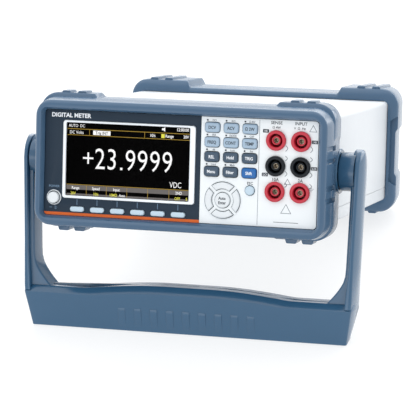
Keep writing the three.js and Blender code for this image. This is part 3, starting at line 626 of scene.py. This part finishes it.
# Each key's name, its legend and the small legend above it, row by row.
FUNCTION_KEYS = [
    [("dc_volts", "DCV", "DCI"), ("ac_volts", "ACV", "ACI"), ("resistance", "Ω 2W", "Ω 4W")],
    [("frequency", "FREQ", "PER"), ("continuity", "CONT", "DIODE"), ("temperature", "TEMP", "CAP")],
    [("relative", "REL", "dB"), ("hold", "Hold", "Lock"), ("trigger", "TRIG", "Ext")],
    [("menu", "Menu", "Local"), ("filter", "Filter", "Math"), ("shift", "Shift", "")],
]
KEY_COLUMNS = (25.1, 39.55, 54.0)
KEY_ROWS = (31.6, 20.65, 9.7, -1.25)

shapes = {"power_button": disc_key(*POWER_PLACE, 4.3)}
for i in range(SOFT_COUNT):
    shapes[f"soft_key_{i + 1}"] = rect_key(-79.5 + SOFT_PITCH * i, -35.3, 5.5, 1.95, 1.8)
for z, row in zip(KEY_ROWS, FUNCTION_KEYS):
    for x, (name, _, _) in zip(KEY_COLUMNS, row):
        shapes[f"key_{name}"] = rect_key(x, z, 5.55, 3.6, 1.9)
for turn, side_name in enumerate(("right", "up", "left", "down")):
    shapes[f"nav_{side_name}"] = arc_key(90 * turn)
shapes["enter_key"] = disc_key(NAV_X, NAV_Z, 5.7)
shapes["esc_key"] = disc_key(54.9, -14.1, 3.45)


def add_key(name, material, front=KEY_FRONT, words=(), ink=WHITE_INK, radius=0.9):
    parts = [(cap(shapes[name], front, KEY_BACK, radius), material)]
    letters = [lettering(text, x, z, height, front + PRINT_Y, stretch=0.86, weight=0.022)
               for text, x, z, height in words]
    if letters:
        parts.append((merge(*letters), ink))
    add(f"{name}_cap", parts, name, body=name)


add_key("power_button", WHITE_KEY, front=-3.2)
for i in range(SOFT_COUNT):
    add_key(f"soft_key_{i + 1}", SOFT_KEY)
for row_index, (z, row) in enumerate(zip(KEY_ROWS, FUNCTION_KEYS)):
    for x, (name, legend, _) in zip(KEY_COLUMNS, row):
        finish, ink = (LIGHT_KEY, DARK_INK) if row_index < 2 else (DARK_KEY, WHITE_INK)
        if name == "shift":
            finish = BLUE_KEY
        add_key(f"key_{name}", finish, words=[(legend, x, z, 2.3)], ink=ink)
for side_name in ("right", "up", "left", "down"):
    add_key(f"nav_{side_name}", WHITE_KEY, radius=0.8)
add_key("enter_key", WHITE_KEY, ink=DARK_INK,
        words=[("Auto", NAV_X, NAV_Z + 1.6, 2.2), ("Enter", NAV_X, NAV_Z - 1.8, 2.2)])
add_key("esc_key", SOFT_KEY)

# ---- Front panel ----

panel_left, panel_right = -PANEL_HALF_WIDTH + GAP, PANEL_HALF_WIDTH - GAP
panel_bottom, panel_top = CENTRE_Z - PANEL_HALF_HEIGHT + GAP, CENTRE_Z + PANEL_HALF_HEIGHT - GAP


def half_panel(left, right, round_left):
    """The left or right part of the front panel, with rounded corners on its outer side."""
    radius = PANEL_CORNER
    if round_left:
        return (arc(left + radius, panel_top - radius, radius, 90, 180, 6)
                + arc(left + radius, panel_bottom + radius, radius, 180, 270, 6)
                + [(right, panel_bottom), (right, panel_top)])
    return ([(left, panel_top), (left, panel_bottom)]
            + arc(right - radius, panel_bottom + radius, radius, -90, 0, 6)
            + arc(right - radius, panel_top - radius, radius, 0, 90, 6))


def frame_rect(box, grow, corner):
    return rounded(box[0] - grow, box[1] + grow, box[2] - grow, box[3] + grow, corner, 6)


left_keys = [shape for name, shape in shapes.items() if name.startswith(("power", "soft"))]
right_keys = [shape for name, shape in shapes.items() if not name.startswith(("power", "soft"))]
jack_holes = [circle(x, z, 6.9) for x in JACK_COLUMNS for z in JACK_ROWS]
fascia_parts = merge(
    slab([half_panel(DIVIDE_X, panel_right, False)] + [s(KEY_GAP) for s in right_keys] + jack_holes,
         0.0, 2.8, 0.15),
    slab([half_panel(panel_left, DIVIDE_X, True), frame_rect(SCREEN_OPENING, 1.2, 1.6)]
         + [s(GAP) for s in left_keys], 1.1, 2.8, 0.15),
    slab([rounded(-104.7, 104.7, CENTRE_Z - 38.6, CENTRE_Z + 38.6, 2),
          rounded(-103.8, 103.8, CENTRE_Z - 37.7, CENTRE_Z + 37.7, 1.2)], 2.4, 16.0, 0.15, 1),
    slab([circle(NAV_X, NAV_Z, 14.6), circle(NAV_X, NAV_Z, 14.0)], -0.35, 0.3, 0.2),
)
film_outline = half_panel(panel_left, DIVIDE_X - GAP / 2, True)
film = slab([film_outline, frame_rect(SCREEN_FRAME, 0.15, 2.0)] + [s(GAP) for s in left_keys], 0.0, 0.8, 0.12)
bezel = slab([frame_rect(SCREEN_FRAME, 0, 2.2), frame_rect(SCREEN_OPENING, 0, 0.9)], -1.1, 0.9, 0.55, 4)
lens = slab([frame_rect(SCREEN_OPENING, -0.2, 0.9)], 0.5, 1.0, 0.1)
power_ring = [(5.0, 0.6), (5.0, -0.3), (5.2, -0.6), (5.55, -0.55), (5.8, 0.0), (5.8, 0.6)]
add("fascia_moulding", [(fascia_parts, FASCIA)], "front_fascia")
add("display_panel_film", [(film, PANEL)], "display_panel")
add("display_bezel", [(bezel, SILVER)], "display_frame")
add("display_lens", [(lens, GLASS)], "display_window")
add("power_ring", [(turned(power_ring, *POWER_PLACE), WHITE_KEY)])

# ---- What the display shows ----

LCD_Y, LCD_SPAN = 1.45, (-89.0, 7.8)


def filled(left, right, bottom, top, y=LCD_Y):
    return prism(rounded(left, right, bottom, top, 0.2, 2), y, y + INK_THICK)


def lit(words, x, z, height, align="CENTER", stretch=0.85, y=LCD_Y + PRINT_Y, weight=0.012):
    return lettering(words, x, z, height, y, align, stretch, weight)


digits = [("+", -72.1, 3.6, 13.2, 0.95)]
digits += [(d, x, 3.75, 15.9, 0.80) for d, x in
           (("2", -62.7), ("3", -53.3), ("9", -38.7), ("9", -29.2), ("9", -19.5), ("9", -9.8))]
white_text = [lit(d, x, z, h, stretch=s, weight=-0.006) for d, x, z, h, s in digits]
white_text.append(filled(-46.7, -44.9, -4.1, -2.3, LCD_Y + PRINT_Y))
white_text += [lit("VDC", -3.0, -13.2, 4.3, stretch=0.74, weight=0.0),
               lit("DC Volts", -87.2, 22.9, 2.4, "LEFT", weight=0.0),
               lit("AUTO  DC", -88.0, 27.9, 2.2, "LEFT", weight=0.0)]
white_text += [lit(*row) for row in (
    ("12:00:00", 1.6, 28.4, 2.3), ("Range", -8.6, 23.2, 2.2), ("20V", 4.4, 23.2, 2.2),
    ("10/s", -21.8, 23.2, 2.2), ("Range", -81.7, -19.2, 2.1), ("Speed", -65.5, -19.2, 2.1),
    ("Input", -49.2, -19.2, 2.1), ("2ND", -0.4, -19.2, 2.1), ("Auto", -44.8, -23.4, 1.9))]
white_text.append(filled(-68.6, -54.9, 21.4, 24.7))
speaker = [(-14.6, 27.4), (-13.4, 27.4), (-12.1, 26.4), (-12.1, 29.9), (-13.4, 28.9), (-14.6, 28.9)]
white_text.append(prism(speaker, LCD_Y, LCD_Y + INK_THICK))
amber = [filled(*LCD_SPAN, *rule) for rule in ((25.2, 25.6), (20.6, 20.95), (-17.0, -16.6))]
amber += [filled(x - 0.15, x + 0.15, -24.9, -17.2, LCD_Y + PRINT_Y)
          for x in (-73.1, -57.2, -41.0, -24.6, -8.0)]
amber += [filled(-28.2, -27.9, 20.9, 25.2), filled(-71.6, -71.3, 20.9, 25.2)]
yellow = [lit("20V", -83.5, -23.4, 2.1), lit("10/s", -65.5, -23.4, 2.1), lit("10MΩ", -51.8, -23.4, 2.0),
          lit("OFF", -1.4, -23.4, 2.1), filled(-15.0, -12.4, 21.6, 24.6), lit("S", 5.8, -23.4, 2.1)]
soft_bar = [filled(*LCD_SPAN, *band, LCD_Y + 0.06) for band in ((-20.6, -17.2), (-24.9, -23.6))]
trigger = lit("Trig INT", -61.75, 23.0, 2.3, y=LCD_Y - 0.1)
face = slab([frame_rect(SCREEN_OPENING, 0.3, 0.9)], LCD_Y + 0.15, LCD_Y + 1.2, 0.1)
add("lcd_picture", [(face, SCREEN), (merge(*white_text), LIT_WHITE), (merge(*amber), LIT_AMBER),
                    (merge(*yellow), LIT_YELLOW), (merge(*soft_bar), LIT_GREY), (trigger, SCREEN)])

# ---- Printed legends ----

tick_places = [-79.8 + SOFT_PITCH * i for i in range(SOFT_COUNT)]
soft_ticks = [stroke([(x, -27.9), (x, -31.9)], 0.4) for x in tick_places]
power_marks = [lettering("POWER", -98.2, -18.6, 1.7), stroke([(-101.6, -34.8), (-99.8, -34.8)], 0.35),
               stroke([(-96.8, -34.1), (-96.8, -35.6)], 0.35),
               stroke(circle(-96.8, -34.85, 1.1, 20), 0.25, closed=True)]
title = lettering("DIGITAL METER", -101.2, 35.7, 3.1, align="LEFT", weight=0.03)
add("panel_print_light", [(merge(*soft_ticks), DIM_INK), (merge(*power_marks), DIM_INK), (title, WHITE_INK)])
stripe_top = -38.2
stripe = [(x, z) for x, z in film_outline if z < stripe_top]
stripe = [(panel_left, stripe_top)] + stripe + [(DIVIDE_X - GAP / 2, stripe_top)]
add("panel_print_stripe", [(prism(stripe, -0.03, 0.02), ORANGE)])

dark_marks = [lettering("SENSE", 74.0, 37.2, 2.3), lettering("INPUT", 92.6, 37.2, 2.3),
              lettering("Ω 4W", 74.0, 33.7, 1.7), lettering("V  Ω  Hz", 91.6, 33.7, 1.7),
              lettering("10A", 74.0, -4.9, 2.3), lettering("2A", 93.1, -4.9, 2.3),
              lettering("ESC", 54.9, -8.7, 2.0), stroke([(73.6, -36.6), (92.2, -36.6)], 0.35)]
small_marks, tags, tag_text = [], [], []


def triangle(x, z, size):
    half_width, half_height = size / 2, size * 0.44
    return [(x - half_width, z - half_height), (x + half_width, z - half_height), (x, z + half_height)]


for x, z, size in ((101.8, 34.0, 5.4), (83.4, -6.2, 4.6), (82.8, -26.4, 7.6)):
    small_marks.append(stroke(triangle(x, z, size), 0.36, closed=True))


def bracket(x, z0, z1):
    """A curved lead line from one jack to the next."""
    bow = 1.44
    return [(x + bow * sin(pi * i / 10), z0 + (z1 - z0) * i / 10) for i in range(11)]


for x in (81.4, 100.3):
    for upper, lower in ((20.6, 16.4), (12.6, 9.4), (1.4, -2.2), (-7.2, -10.4)):
        small_marks.append(stroke(bracket(x, upper, lower), 0.4))
earth_sign = ([(101.6, -9.0), (101.6, -10.6)], [(99.8, -10.6), (103.4, -10.6)],
              [(100.5, -11.6), (102.7, -11.6)], [(101.1, -12.6), (102.1, -12.6)])
jack_divider = [(61.1, 38.6), (61.1, -39.4)]
small_marks += [stroke(line, 0.3) for line in (*earth_sign, jack_divider)]
for x, z, word in ((66.0, 30.8, "HI"), (103.4, 24.0, "HI"), (66.0, -1.6, "LO"), (103.4, 4.4, "LO")):
    tags.append(prism(rounded(x - 2.3, x + 2.3, z - 1.3, z + 1.3, 0.4, 3), -0.04, -0.01))
    tag_text.append(lettering(word, x, z, 1.6, y=-0.08))
for z, row in zip(KEY_ROWS, FUNCTION_KEYS):
    for x, (_, _, second) in zip(KEY_COLUMNS, row):
        if second:
            small_marks.append(lettering(second, x + 1.3, z + 5.3, 1.5, stretch=0.85))
            tags.append(filled(x - 4.6, x - 3.3, z + 4.7, z + 5.9, -0.04))
add("panel_print_dark", [(merge(*dark_marks), DARK_INK), (merge(*small_marks), GREY_INK),
                         (merge(*tags), DARK_INK), (merge(*tag_text), WHITE_INK)])

# ---- Jacks ----

JACKS = {"jack_sense_hi": (0, 0), "jack_input_hi": (1, 0), "jack_sense_lo": (0, 1),
         "jack_input_lo": (1, 1), "jack_10a": (0, 2), "jack_2a": (1, 2)}
JACK_PROFILE = [(6.6, 24.0), (6.6, -0.3), (7.6, -0.3), (7.6, -1.5), (7.45, -1.95), (7.1, -2.25), (6.6, -2.4),
                (5.6, -2.4), (5.25, -2.25), (5.05, -1.9), (5.05, 12.0), (3.4, 12.0), (3.4, -0.2),
                (3.3, -0.48), (3.05, -0.6), (2.5, -0.6), (2.2, -0.4), (2.1, 0.0), (2.1, 24.0)]
CONTACT_PROFILE = [(2.05, 23.5), (2.05, 1.4), (1.95, 1.2), (1.75, 1.2), (1.65, 1.4), (1.65, 8.0), (0.01, 8.6),
                   (0.01, 23.5)]
for name, (column, row) in JACKS.items():
    x, z = JACK_COLUMNS[column], JACK_ROWS[row]
    add(f"{name}_shroud", [(turned(JACK_PROFILE, x, z, 56), BLACK if row == 1 else RED),
                           (turned(CONTACT_PROFILE, x, z, 32), BRASS)], name)

# ---- Handle and pivots ----

ARM_TOP = 17.0
OUTER_EDGE = ((17.0, 134.0), (0.0, 134.0), (-72.0, 131.9), (-103.0, 129.6), (-119.0, 126.8), (-130.0, 124.8))
PLATE_THICK, SPINE_HALF, PLATE_HALF, CROWN = 5.6, 10.0, 15.8, 2.6
GRIP_FRONT, GRIP_RIDGE, FOOT_FRONT, FOOT_REAR = 11.6, 15.4, 7.0, 9.0
RIDGE_Z = -103.8
RIB_COUNT, RIB_PITCH = 9, 12.8


def floor_height(_, y):
    """The height of the floor under a depth y, in the chassis frame."""
    clearance = 0.05
    return (-CHASSIS.translation.z * 1000 - y * inward.z) / upward.z + clearance


def outer_edge(z):
    """How far out the handle reaches at a height z."""
    for (z0, x0), (z1, x1) in zip(OUTER_EDGE, OUTER_EDGE[1:]):
        if z >= z1:
            return x0 + (x1 - x0) * (z0 - z) / (z0 - z1)
    return OUTER_EDGE[-1][1]


def inner_edge(z):
    """The inner side of an arm, which sweeps inwards to the grip."""
    sweep = clamped((-z - 79) / 22)
    return min(outer_edge(z) - 8.8, 125.2) - 13.5 * sweep ** 1.5


def fillet_polygon(corners):
    """Rounds each (f, v, radius) corner of a polygon with the same number of points."""
    steps = 4
    points = []
    for i, (f, v, radius) in enumerate(corners):
        here = Vector((f, v))
        to_last = Vector(corners[i - 1][:2]) - here
        to_next = Vector(corners[(i + 1) % len(corners)][:2]) - here
        reach = min(radius, to_last.length * 0.48, to_next.length * 0.48)
        start = here + to_last.normalized() * reach
        end = here + to_next.normalized() * reach
        for k in range(steps + 1):
            t = k / steps
            point = start * (1 - t) ** 2 + here * (2 * t * (1 - t)) + end * t ** 2
            points.append((point.x, point.y))
    return points


def arm(side):
    """One arm: a crowned plate with a narrower spine inside it, round at the top."""
    rings = []
    heights = [ARM_TOP * sin(radians(a)) for a in (87, 78, 68, 57, 45, 32, 18, 0)]
    heights += [-15, -30, -45, -58, -66, -72, -78, -83, -87, -90.5, -93.5, -96, -98, -100, -102.5]
    for z in heights:
        width = sqrt(1 - (max(z, 0) / ARM_TOP) ** 2)
        pulled = (1 - width) ** 1.6
        outer = outer_edge(z) - 2.8 * pulled
        inner = inner_edge(z) + 1.2 * pulled
        step = outer - PLATE_THICK + 1.5 * pulled
        crown = CROWN * (1 - pulled) * (1 - 0.7 * clamped((-z - 70) / 28))
        corners = [(inner, SPINE_HALF, 1.6), (step, SPINE_HALF, 0.6), (step, PLATE_HALF, 1.2),
                   (outer - crown, PLATE_HALF - 0.2, 2.2), (outer, 4.5, 9.0), (outer, -4.5, 9.0),
                   (outer - crown, 0.2 - PLATE_HALF, 2.2), (step, -PLATE_HALF, 1.2), (step, -SPINE_HALF, 0.6),
                   (inner, -SPINE_HALF, 1.6)]
        rings.append([(side * x, PIVOT_Y - v * width, z) for x, v in fillet_polygon(corners)])
    return loft(rings)


def crest(x, reach, height, base):
    """The arched line of the grip across x."""
    return base + height * sin(pi / 2 * clamped((reach - abs(x)) / (reach - 18)))


def grip_ring(front, rear, height, radius=1.6):
    """A level ring round the grip; height gives its Z at each (x, y)."""
    samples = 40
    points = []

    def put(x, v):
        y = PIVOT_Y - v
        points.append((x, y, height(x, y)))

    def face(sign, v):
        for i in range(samples + 1):
            put(sign * (2 * half * i / samples - half), v)

    def corner(sign, v, angles):
        for turn in map(radians, angles):
            put(sign * half + radius * cos(turn), v + radius * sin(turn))

    half = outer_edge(height(120, PIVOT_Y - front)) - radius
    face(1, front)
    corner(1, front - radius, (60, 30, 0))
    corner(1, radius - rear, (0, -30, -60))
    face(-1, -rear)
    corner(-1, radius - rear, (240, 210, 180))
    corner(-1, front - radius, (180, 150, 120))
    return points


def grip():
    """The grip: a bevel under an arched top edge, and a front that tapers down to the foot."""
    def top(x, _):
        return crest(x, 80, 4.8, -99.0)

    def ridge(x, _):
        return crest(x, 75, 3.8, RIDGE_Z)

    def shifted(height, shift):
        return lambda x, y: height(x, y) + shift

    rows = [(FOOT_FRONT - 0.9, FOOT_REAR - 0.9, floor_height),
            (FOOT_FRONT - 0.2, FOOT_REAR - 0.2, shifted(floor_height, 0.3)),
            (FOOT_FRONT + 0.1, FOOT_REAR + 0.1, shifted(floor_height, 1.1)),
            (GRIP_RIDGE - 0.15, GRIP_RIDGE - 0.15, shifted(ridge, -0.9), 2.6),
            (GRIP_RIDGE, GRIP_RIDGE, ridge, 2.8),
            (GRIP_RIDGE - 0.6, GRIP_RIDGE - 0.6, shifted(ridge, 0.9), 3.0),
            (GRIP_FRONT + 0.6, GRIP_FRONT + 0.6, shifted(top, -0.8), 4.0),
            (GRIP_FRONT - 0.6, GRIP_FRONT - 0.6, top, 4.4),
            (2.0, 2.0, top, 2.0)]
    return loft([grip_ring(*row) for row in rows])


def grip_ribs():
    """Raised finger ribs on the lower front of the grip."""
    slope = (GRIP_RIDGE - FOOT_FRONT) / 25.2
    half_rib = 3.1
    ribs = []
    for i in range(RIB_COUNT):
        x = (i - (RIB_COUNT - 1) / 2) * RIB_PITCH
        rings = []
        for z, proud in ((-112.6, -0.3), (-114.2, 0.3), (-115.2, 0.5), (-126.4, 0.5), (-127.8, 0.1)):
            v = GRIP_RIDGE - (-z + RIDGE_Z) * slope
            section = [(-half_rib, -0.6), (-2.7, proud * 0.6), (-2.0, proud), (2.0, proud),
                       (2.7, proud * 0.6), (half_rib, -0.6)]
            rings.append([(x + dx, PIVOT_Y - v - dv, z) for dx, dv in section])
        ribs.append(loft(rings))
    return ribs


boss_profile = [(6.4, 115.8), (13.4, 115.8), (14.2, 116.1), (14.6, 116.9), (14.6, 127.5), (6.4, 127.5)]
bosses = [about_pivot(boss_profile, side) for side in (-1, 1)]
add("handle_shell", [(merge(arm(-1), arm(1), grip(), *grip_ribs(), *bosses), HANDLE)],
    "handle", body="handle", sharp=28)

base_profile = [(0.01, 107.1), (16.4, 107.1), (17.0, 107.7), (17.0, 110.6), (16.3, 111.0), (16.3, 111.8),
                (17.0, 112.2), (17.0, 114.7), (16.4, 115.3), (6.0, 115.3), (6.0, 124.6), (5.6, 125.0),
                (0.01, 125.0)]
for side, label in ((-1, "left"), (1, "right")):
    add(f"pivot_{label}_mount", [(about_pivot(base_profile, side), HANDLE)], f"pivot_base_{label}")

# ---- Rear panel ----

rear_left = -COVER_HALF_WIDTH + COVER_WALL + GAP
rear_outline = rounded(rear_left, -rear_left, CENTRE_Z - 39.0, CENTRE_Z + 39.0, 1.0)
SOCKET_BACK = 268.2
INLET, FUSE, SELECTOR = (-78, -18), (-78, 3), (-78, 21)
LAN, USB, SERIAL, TRIGGER = (-30, -20), (-5, -20), (32, -20), (72, -20)
OPENINGS = ((INLET, 13.6, 10), (FUSE, 11, 6), (SELECTOR, 8, 6), (LAN, 8, 6.8), (USB, 6, 5.4),
            (SERIAL, 15.4, 6.2))


def window(centre, half_width, half_height, grow=GAP, corner=0.8):
    return grown(*centre, half_width, half_height, grow, corner, 4)


def block(centre, half_width, half_height, corner, y0, y1, bevel, steps=2, hole=None):
    """A rounded block on the rear face. hole is the half width, half height and corner of its opening."""
    outlines = [window(centre, half_width, half_height, 0, corner)]
    if hole:
        outlines.append(window(centre, hole[0], hole[1], 0, hole[2]))
    return slab(outlines, y0, y1, bevel, steps)


fan_slots = [rounded(-40 + 10 * i, -33 + 10 * i, 30.5, 32.5, 0.9, 4) for i in range(13)]
plate_holes = [window(*opening) for opening in OPENINGS] + [circle(*TRIGGER, 5.9)] + fan_slots
add("rear_plate", [(slab([rear_outline] + plate_holes, 276.0, 277.5, 0.1, 1), SHEET)], "rear_panel")


def screw(x, z, radius=2.6):
    """A pan-head screw with a cross recess."""
    arm, half = radius * 0.62, radius * 0.16
    cross = [(arm, half), (half, half), (half, arm)]
    for _ in range(3):
        cross += [(-pz, px) for px, pz in cross[-3:]]
    recess = [(x + px, z + pz) for px, pz in cross]
    return merge(slab([circle(x, z, radius), recess], REAR_Y, REAR_Y + 1.2, 0.3),
                 slab([circle(x, z, radius * 0.9)], REAR_Y - 0.2, REAR_Y + 0.4, 0.1))


inlet = merge(block(INLET, 15.6, 12, 1.5, REAR_Y, REAR_Y + 1.6, 0.4, hole=(12, 8, 3)),
              block(INLET, 13.6, 10, 1.0, 262.0, REAR_Y + 0.5, 0.1, hole=(12, 8, 3)),
              block(INLET, 13.4, 9.8, 1.0, 256.2, 262.5, 0.2))
inlet_pins = merge(*[brick(INLET[0] + x - 1, INLET[0] + x + 1, 262.2, 274.6,
                           INLET[1] + z - 2.2, INLET[1] + z + 2.2, 0.4)
                     for x, z in ((-7, -2.4), (0, 2.4), (7, -2.4))])
drawer = merge(block(FUSE, 12, 7, 1.2, REAR_Y, REAR_Y + 1.9, 0.4),
               brick(-85, -71, REAR_Y + 1.2, REAR_Y + 2.0, 1.0, 5.0, 0.3),
               block(FUSE, 11, 6, 0.8, 258.0, REAR_Y + 0.5, 0.2))
selector = merge(block(SELECTOR, 9, 7, 1.2, REAR_Y, REAR_Y + 1.0, 0.3, hole=(5, 1.1, 0.5)),
                 block(SELECTOR, 7.8, 5.8, 0.6, SOCKET_BACK, REAR_Y + 0.3, 0.2))
lan = merge(block(LAN, 8, 6.8, 0.6, 267.0, REAR_Y, 0.15, 1, (5.9, 4, 0.3)),
            block(LAN, 7.9, 6.7, 0.6, 262.2, 267.5, 0.15, 1))
contact_places = [-34 + 1.14 * i for i in range(8)]
lan_contacts = merge(*[brick(x - 0.2, x + 0.2, 268, 274, -23.6, -22.4, 0.1) for x in contact_places])
usb = merge(block(USB, 6, 5.4, 0.6, 268.0, REAR_Y, 0.15, 1, (4.2, 3.8, 0.5)),
            block(USB, 5.9, 5.3, 0.6, 264.2, 268.5, 0.15, 1))
usb_tongue = brick(-7.8, -2.2, 268.3, 276.6, -21.5, -18.5, 0.3)
add("power_inlet_body", [(inlet, BLACK), (inlet_pins, PLATED)], "power_inlet")
add("fuse_drawer_front", [(drawer, BLACK)], "fuse_drawer")
add("voltage_selector_body", [(selector, SELECTOR_RED)], "voltage_selector")
add("lan_socket_shell", [(lan, PLATED), (lan_contacts, BRASS)], "lan_socket")
add("usb_socket_shell", [(usb, PLATED), (usb_tongue, BLACK)], "usb_socket")


def d_outline(half_width, half_height, corner):
    """The D shape of the serial connector, narrower below."""
    x, z = SERIAL
    slant = 1.2
    points = []
    for sx, sz, start in ((1, -1, -90), (1, 1, 0), (-1, 1, 90), (-1, -1, 180)):
        inset = slant if sz < 0 else 0
        points += arc(x + sx * (half_width - corner - inset), z + sz * (half_height - corner), corner,
                      start, start + 90, 5)
    return points


serial_shell = merge(block(SERIAL, 15.4, 6.2, 1.0, SOCKET_BACK, REAR_Y + 1.0, 0.2),
                     slab([d_outline(8.5, 4.2, 2.0), d_outline(8.0, 3.7, 1.6)],
                          REAR_Y, REAR_Y + 5.9, 0.12, 1))
serial_insert = slab([d_outline(7.9, 3.6, 1.5)], REAR_Y + 0.5, REAR_Y + 1.6, 0.1)
pin_profile = [(0.01, 279), (0.5, 279), (0.5, 282.6), (0.2, 283.0), (0.01, 283.0)]
pin_rows = ((1.4, (-5.5, -2.75, 0, 2.75, 5.5)), (-1.4, (-4.1, -1.4, 1.4, 4.1)))
serial_pins = merge(*[turned(pin_profile, SERIAL[0] + x, SERIAL[1] + z, 12)
                      for z, xs in pin_rows for x in xs])
add("serial_socket_shell", [(serial_shell, PLATED), (serial_insert, BLACK), (serial_pins, BRASS)],
    "serial_socket")
shell_profile = [(4.0, REAR_Y + 2), (4.0, REAR_Y + 11.6), (4.3, REAR_Y + 12), (4.8, REAR_Y + 11.6),
                 (4.8, REAR_Y + 1.2), (5.6, REAR_Y + 1.0), (5.6, SOCKET_BACK), (0.01, SOCKET_BACK),
                 (0.01, REAR_Y + 2)]
insulator_profile = [(1.0, REAR_Y + 1.8), (3.4, REAR_Y + 1.8), (3.4, REAR_Y + 6), (1.0, REAR_Y + 6)]
centre_profile = [(0.01, REAR_Y + 1.9), (0.8, REAR_Y + 1.9), (0.8, REAR_Y + 8), (0.01, REAR_Y + 8.4)]
lug_places = [TRIGGER[0] + side * 5.2 for side in (-1, 1)]
lugs = [brick(x - 0.7, x + 0.6, REAR_Y + 7, REAR_Y + 9, -20.8, -19.2, 0.3) for x in lug_places]
add("trigger_socket_shell", [(merge(turned(shell_profile, *TRIGGER, 40), *lugs), PLATED),
                             (turned(insulator_profile, *TRIGGER, 32), WHITE_KEY),
                             (turned(centre_profile, *TRIGGER, 16), BRASS)],
    "trigger_socket")
add("option_slot_plate", [(slab([rounded(-48, 92, 2, 27, 1)], REAR_Y, REAR_Y + 1.0, 0.15), SHEET),
                          (merge(*[screw(x, 14.5, 2.4) for x in (-43, 87)]), PLATED)],
    "option_slot_cover")
corner_screws = [screw(x, z) for x in (-98, 98) for z in (-35, 34)]
nut_places = [SERIAL[0] + side * 12.5 for side in (-1, 1)]
serial_nuts = [slab([circle(x, SERIAL[1], 2.4, 6), circle(x, SERIAL[1], 1.2, 16)],
                    REAR_Y + 1.0, REAR_Y + 4.5, 0.2, 1) for x in nut_places]
add("rear_screws", [(merge(*corner_screws, *serial_nuts), PLATED)])


def rear_words(words, x, z, height=2.0):
    """Words on the rear face, which read from behind."""
    points, faces = lettering(words, 0, 0, height, y=0.0)
    return [(x - px, REAR_Y - 0.2 - py, z + pz) for px, py, pz in points], faces


rear_marks = [rear_words(*words) for words in (
    ("AC IN", -58, -10), ("FUSE", -58, 3), ("LINE", -60, 21), ("LAN", -30, -30), ("USB", -5, -30),
    ("RS232C", 32, -30), ("EXT TRIG", 72, -30))]
add("rear_print", [(merge(*rear_marks), DARK_INK)])

# ---- CAD nodes that stay ----

for node, material in (("main_board", BOARD), ("key_board", BOARD), ("transformer", CORE),
                       ("input_shield", PLATED), ("lcd_module", PLATED)):
    mesh = frame["nodes"][node].data
    mesh.materials.clear()
    mesh.materials.append(material)

# ---- Stage, light and camera ----

bpy.ops.mesh.primitive_plane_add(size=12, location=(0, 0, -0.0005))
floor = bpy.context.object
floor.name = "studio_floor"
backdrop = surface("studio_floor", (0.24, 0.24, 0.24), 0.6, grain_size=2.0, mottle=0.01, specular=0.1)
wire(backdrop.node_tree, backdrop.node_tree.nodes["Principled BSDF"],
     {"Emission Color": (0.98, 0.99, 1.0, 1.0), "Emission Strength": 0.78})
floor.data.materials.append(backdrop)

world = bpy.data.worlds.new("studio")
world.use_nodes = True
wire(world.node_tree, world.node_tree.nodes["Background"],
     {"Color": (0.97, 0.985, 1.0, 1.0), "Strength": 1.0})
bpy.context.scene.world = world
bpy.context.scene.view_settings.view_transform = "Standard"


def softbox(name, position, target, size, power):
    """A large area light; lengths are in metres in the row frame, and the power is in watts."""
    light = bpy.data.lights.new(name, "AREA")
    light.shape = "RECTANGLE"
    light.size, light.size_y = size
    light.energy = power
    lamp = placed(name, light)
    lamp.location = position
    lamp.rotation_euler = (Vector(target) - Vector(position)).to_track_quat("-Z", "Y").to_euler()


softbox("overhead", (-0.2, 0.3, 1.5), (0, 0, 0.05), (2.4, 2.2), 13)
softbox("behind", (0.1, 1.7, 1.0), (0, 0, 0.1), (2.6, 1.2), 22)
softbox("rim", (1.15, 1.35, 0.35), (0.1, 0, 0.08), (0.9, 0.8), 6)
softbox("front_fill", (-0.3, -2.6, 0.5), (0, 0, 0.0), (1.6, 0.9), 5)

# The camera, solved from the photo: its angles, its place in the chassis frame and its lens in mm.
CAMERA_YAW, CAMERA_PITCH, CAMERA_ROLL = (radians(a) for a in (15.40, 6.17, 1.54))
CAMERA_PLACE = (529.0, -1830.9, 175.0)
SENSOR, LENS = 36.0, 219.6


def camera_axes():
    """Right, up and back of the camera in the chassis frame."""
    cos_pitch, sin_pitch = cos(CAMERA_PITCH), sin(CAMERA_PITCH)
    ahead = Vector((-sin(CAMERA_YAW) * cos_pitch, cos(CAMERA_YAW) * cos_pitch, -sin_pitch))
    level = Vector((cos(CAMERA_YAW), sin(CAMERA_YAW), 0.0))
    down = ahead.cross(level)
    cos_roll, sin_roll = cos(CAMERA_ROLL), sin(CAMERA_ROLL)
    right = level * cos_roll - down * sin_roll
    lower = level * sin_roll + down * cos_roll
    return right, -lower, -ahead


camera = placed("camera", bpy.data.cameras.new("camera"))
camera.data.lens = LENS
camera.data.sensor_width = SENSOR
camera.data.clip_end = 20.0
facing = Matrix([chassis_axes @ axis for axis in camera_axes()]).transposed()
camera.matrix_world = Matrix.Translation(CHASSIS @ Vector(CAMERA_PLACE)) @ facing.to_4x4()
bpy.context.scene.camera = camera
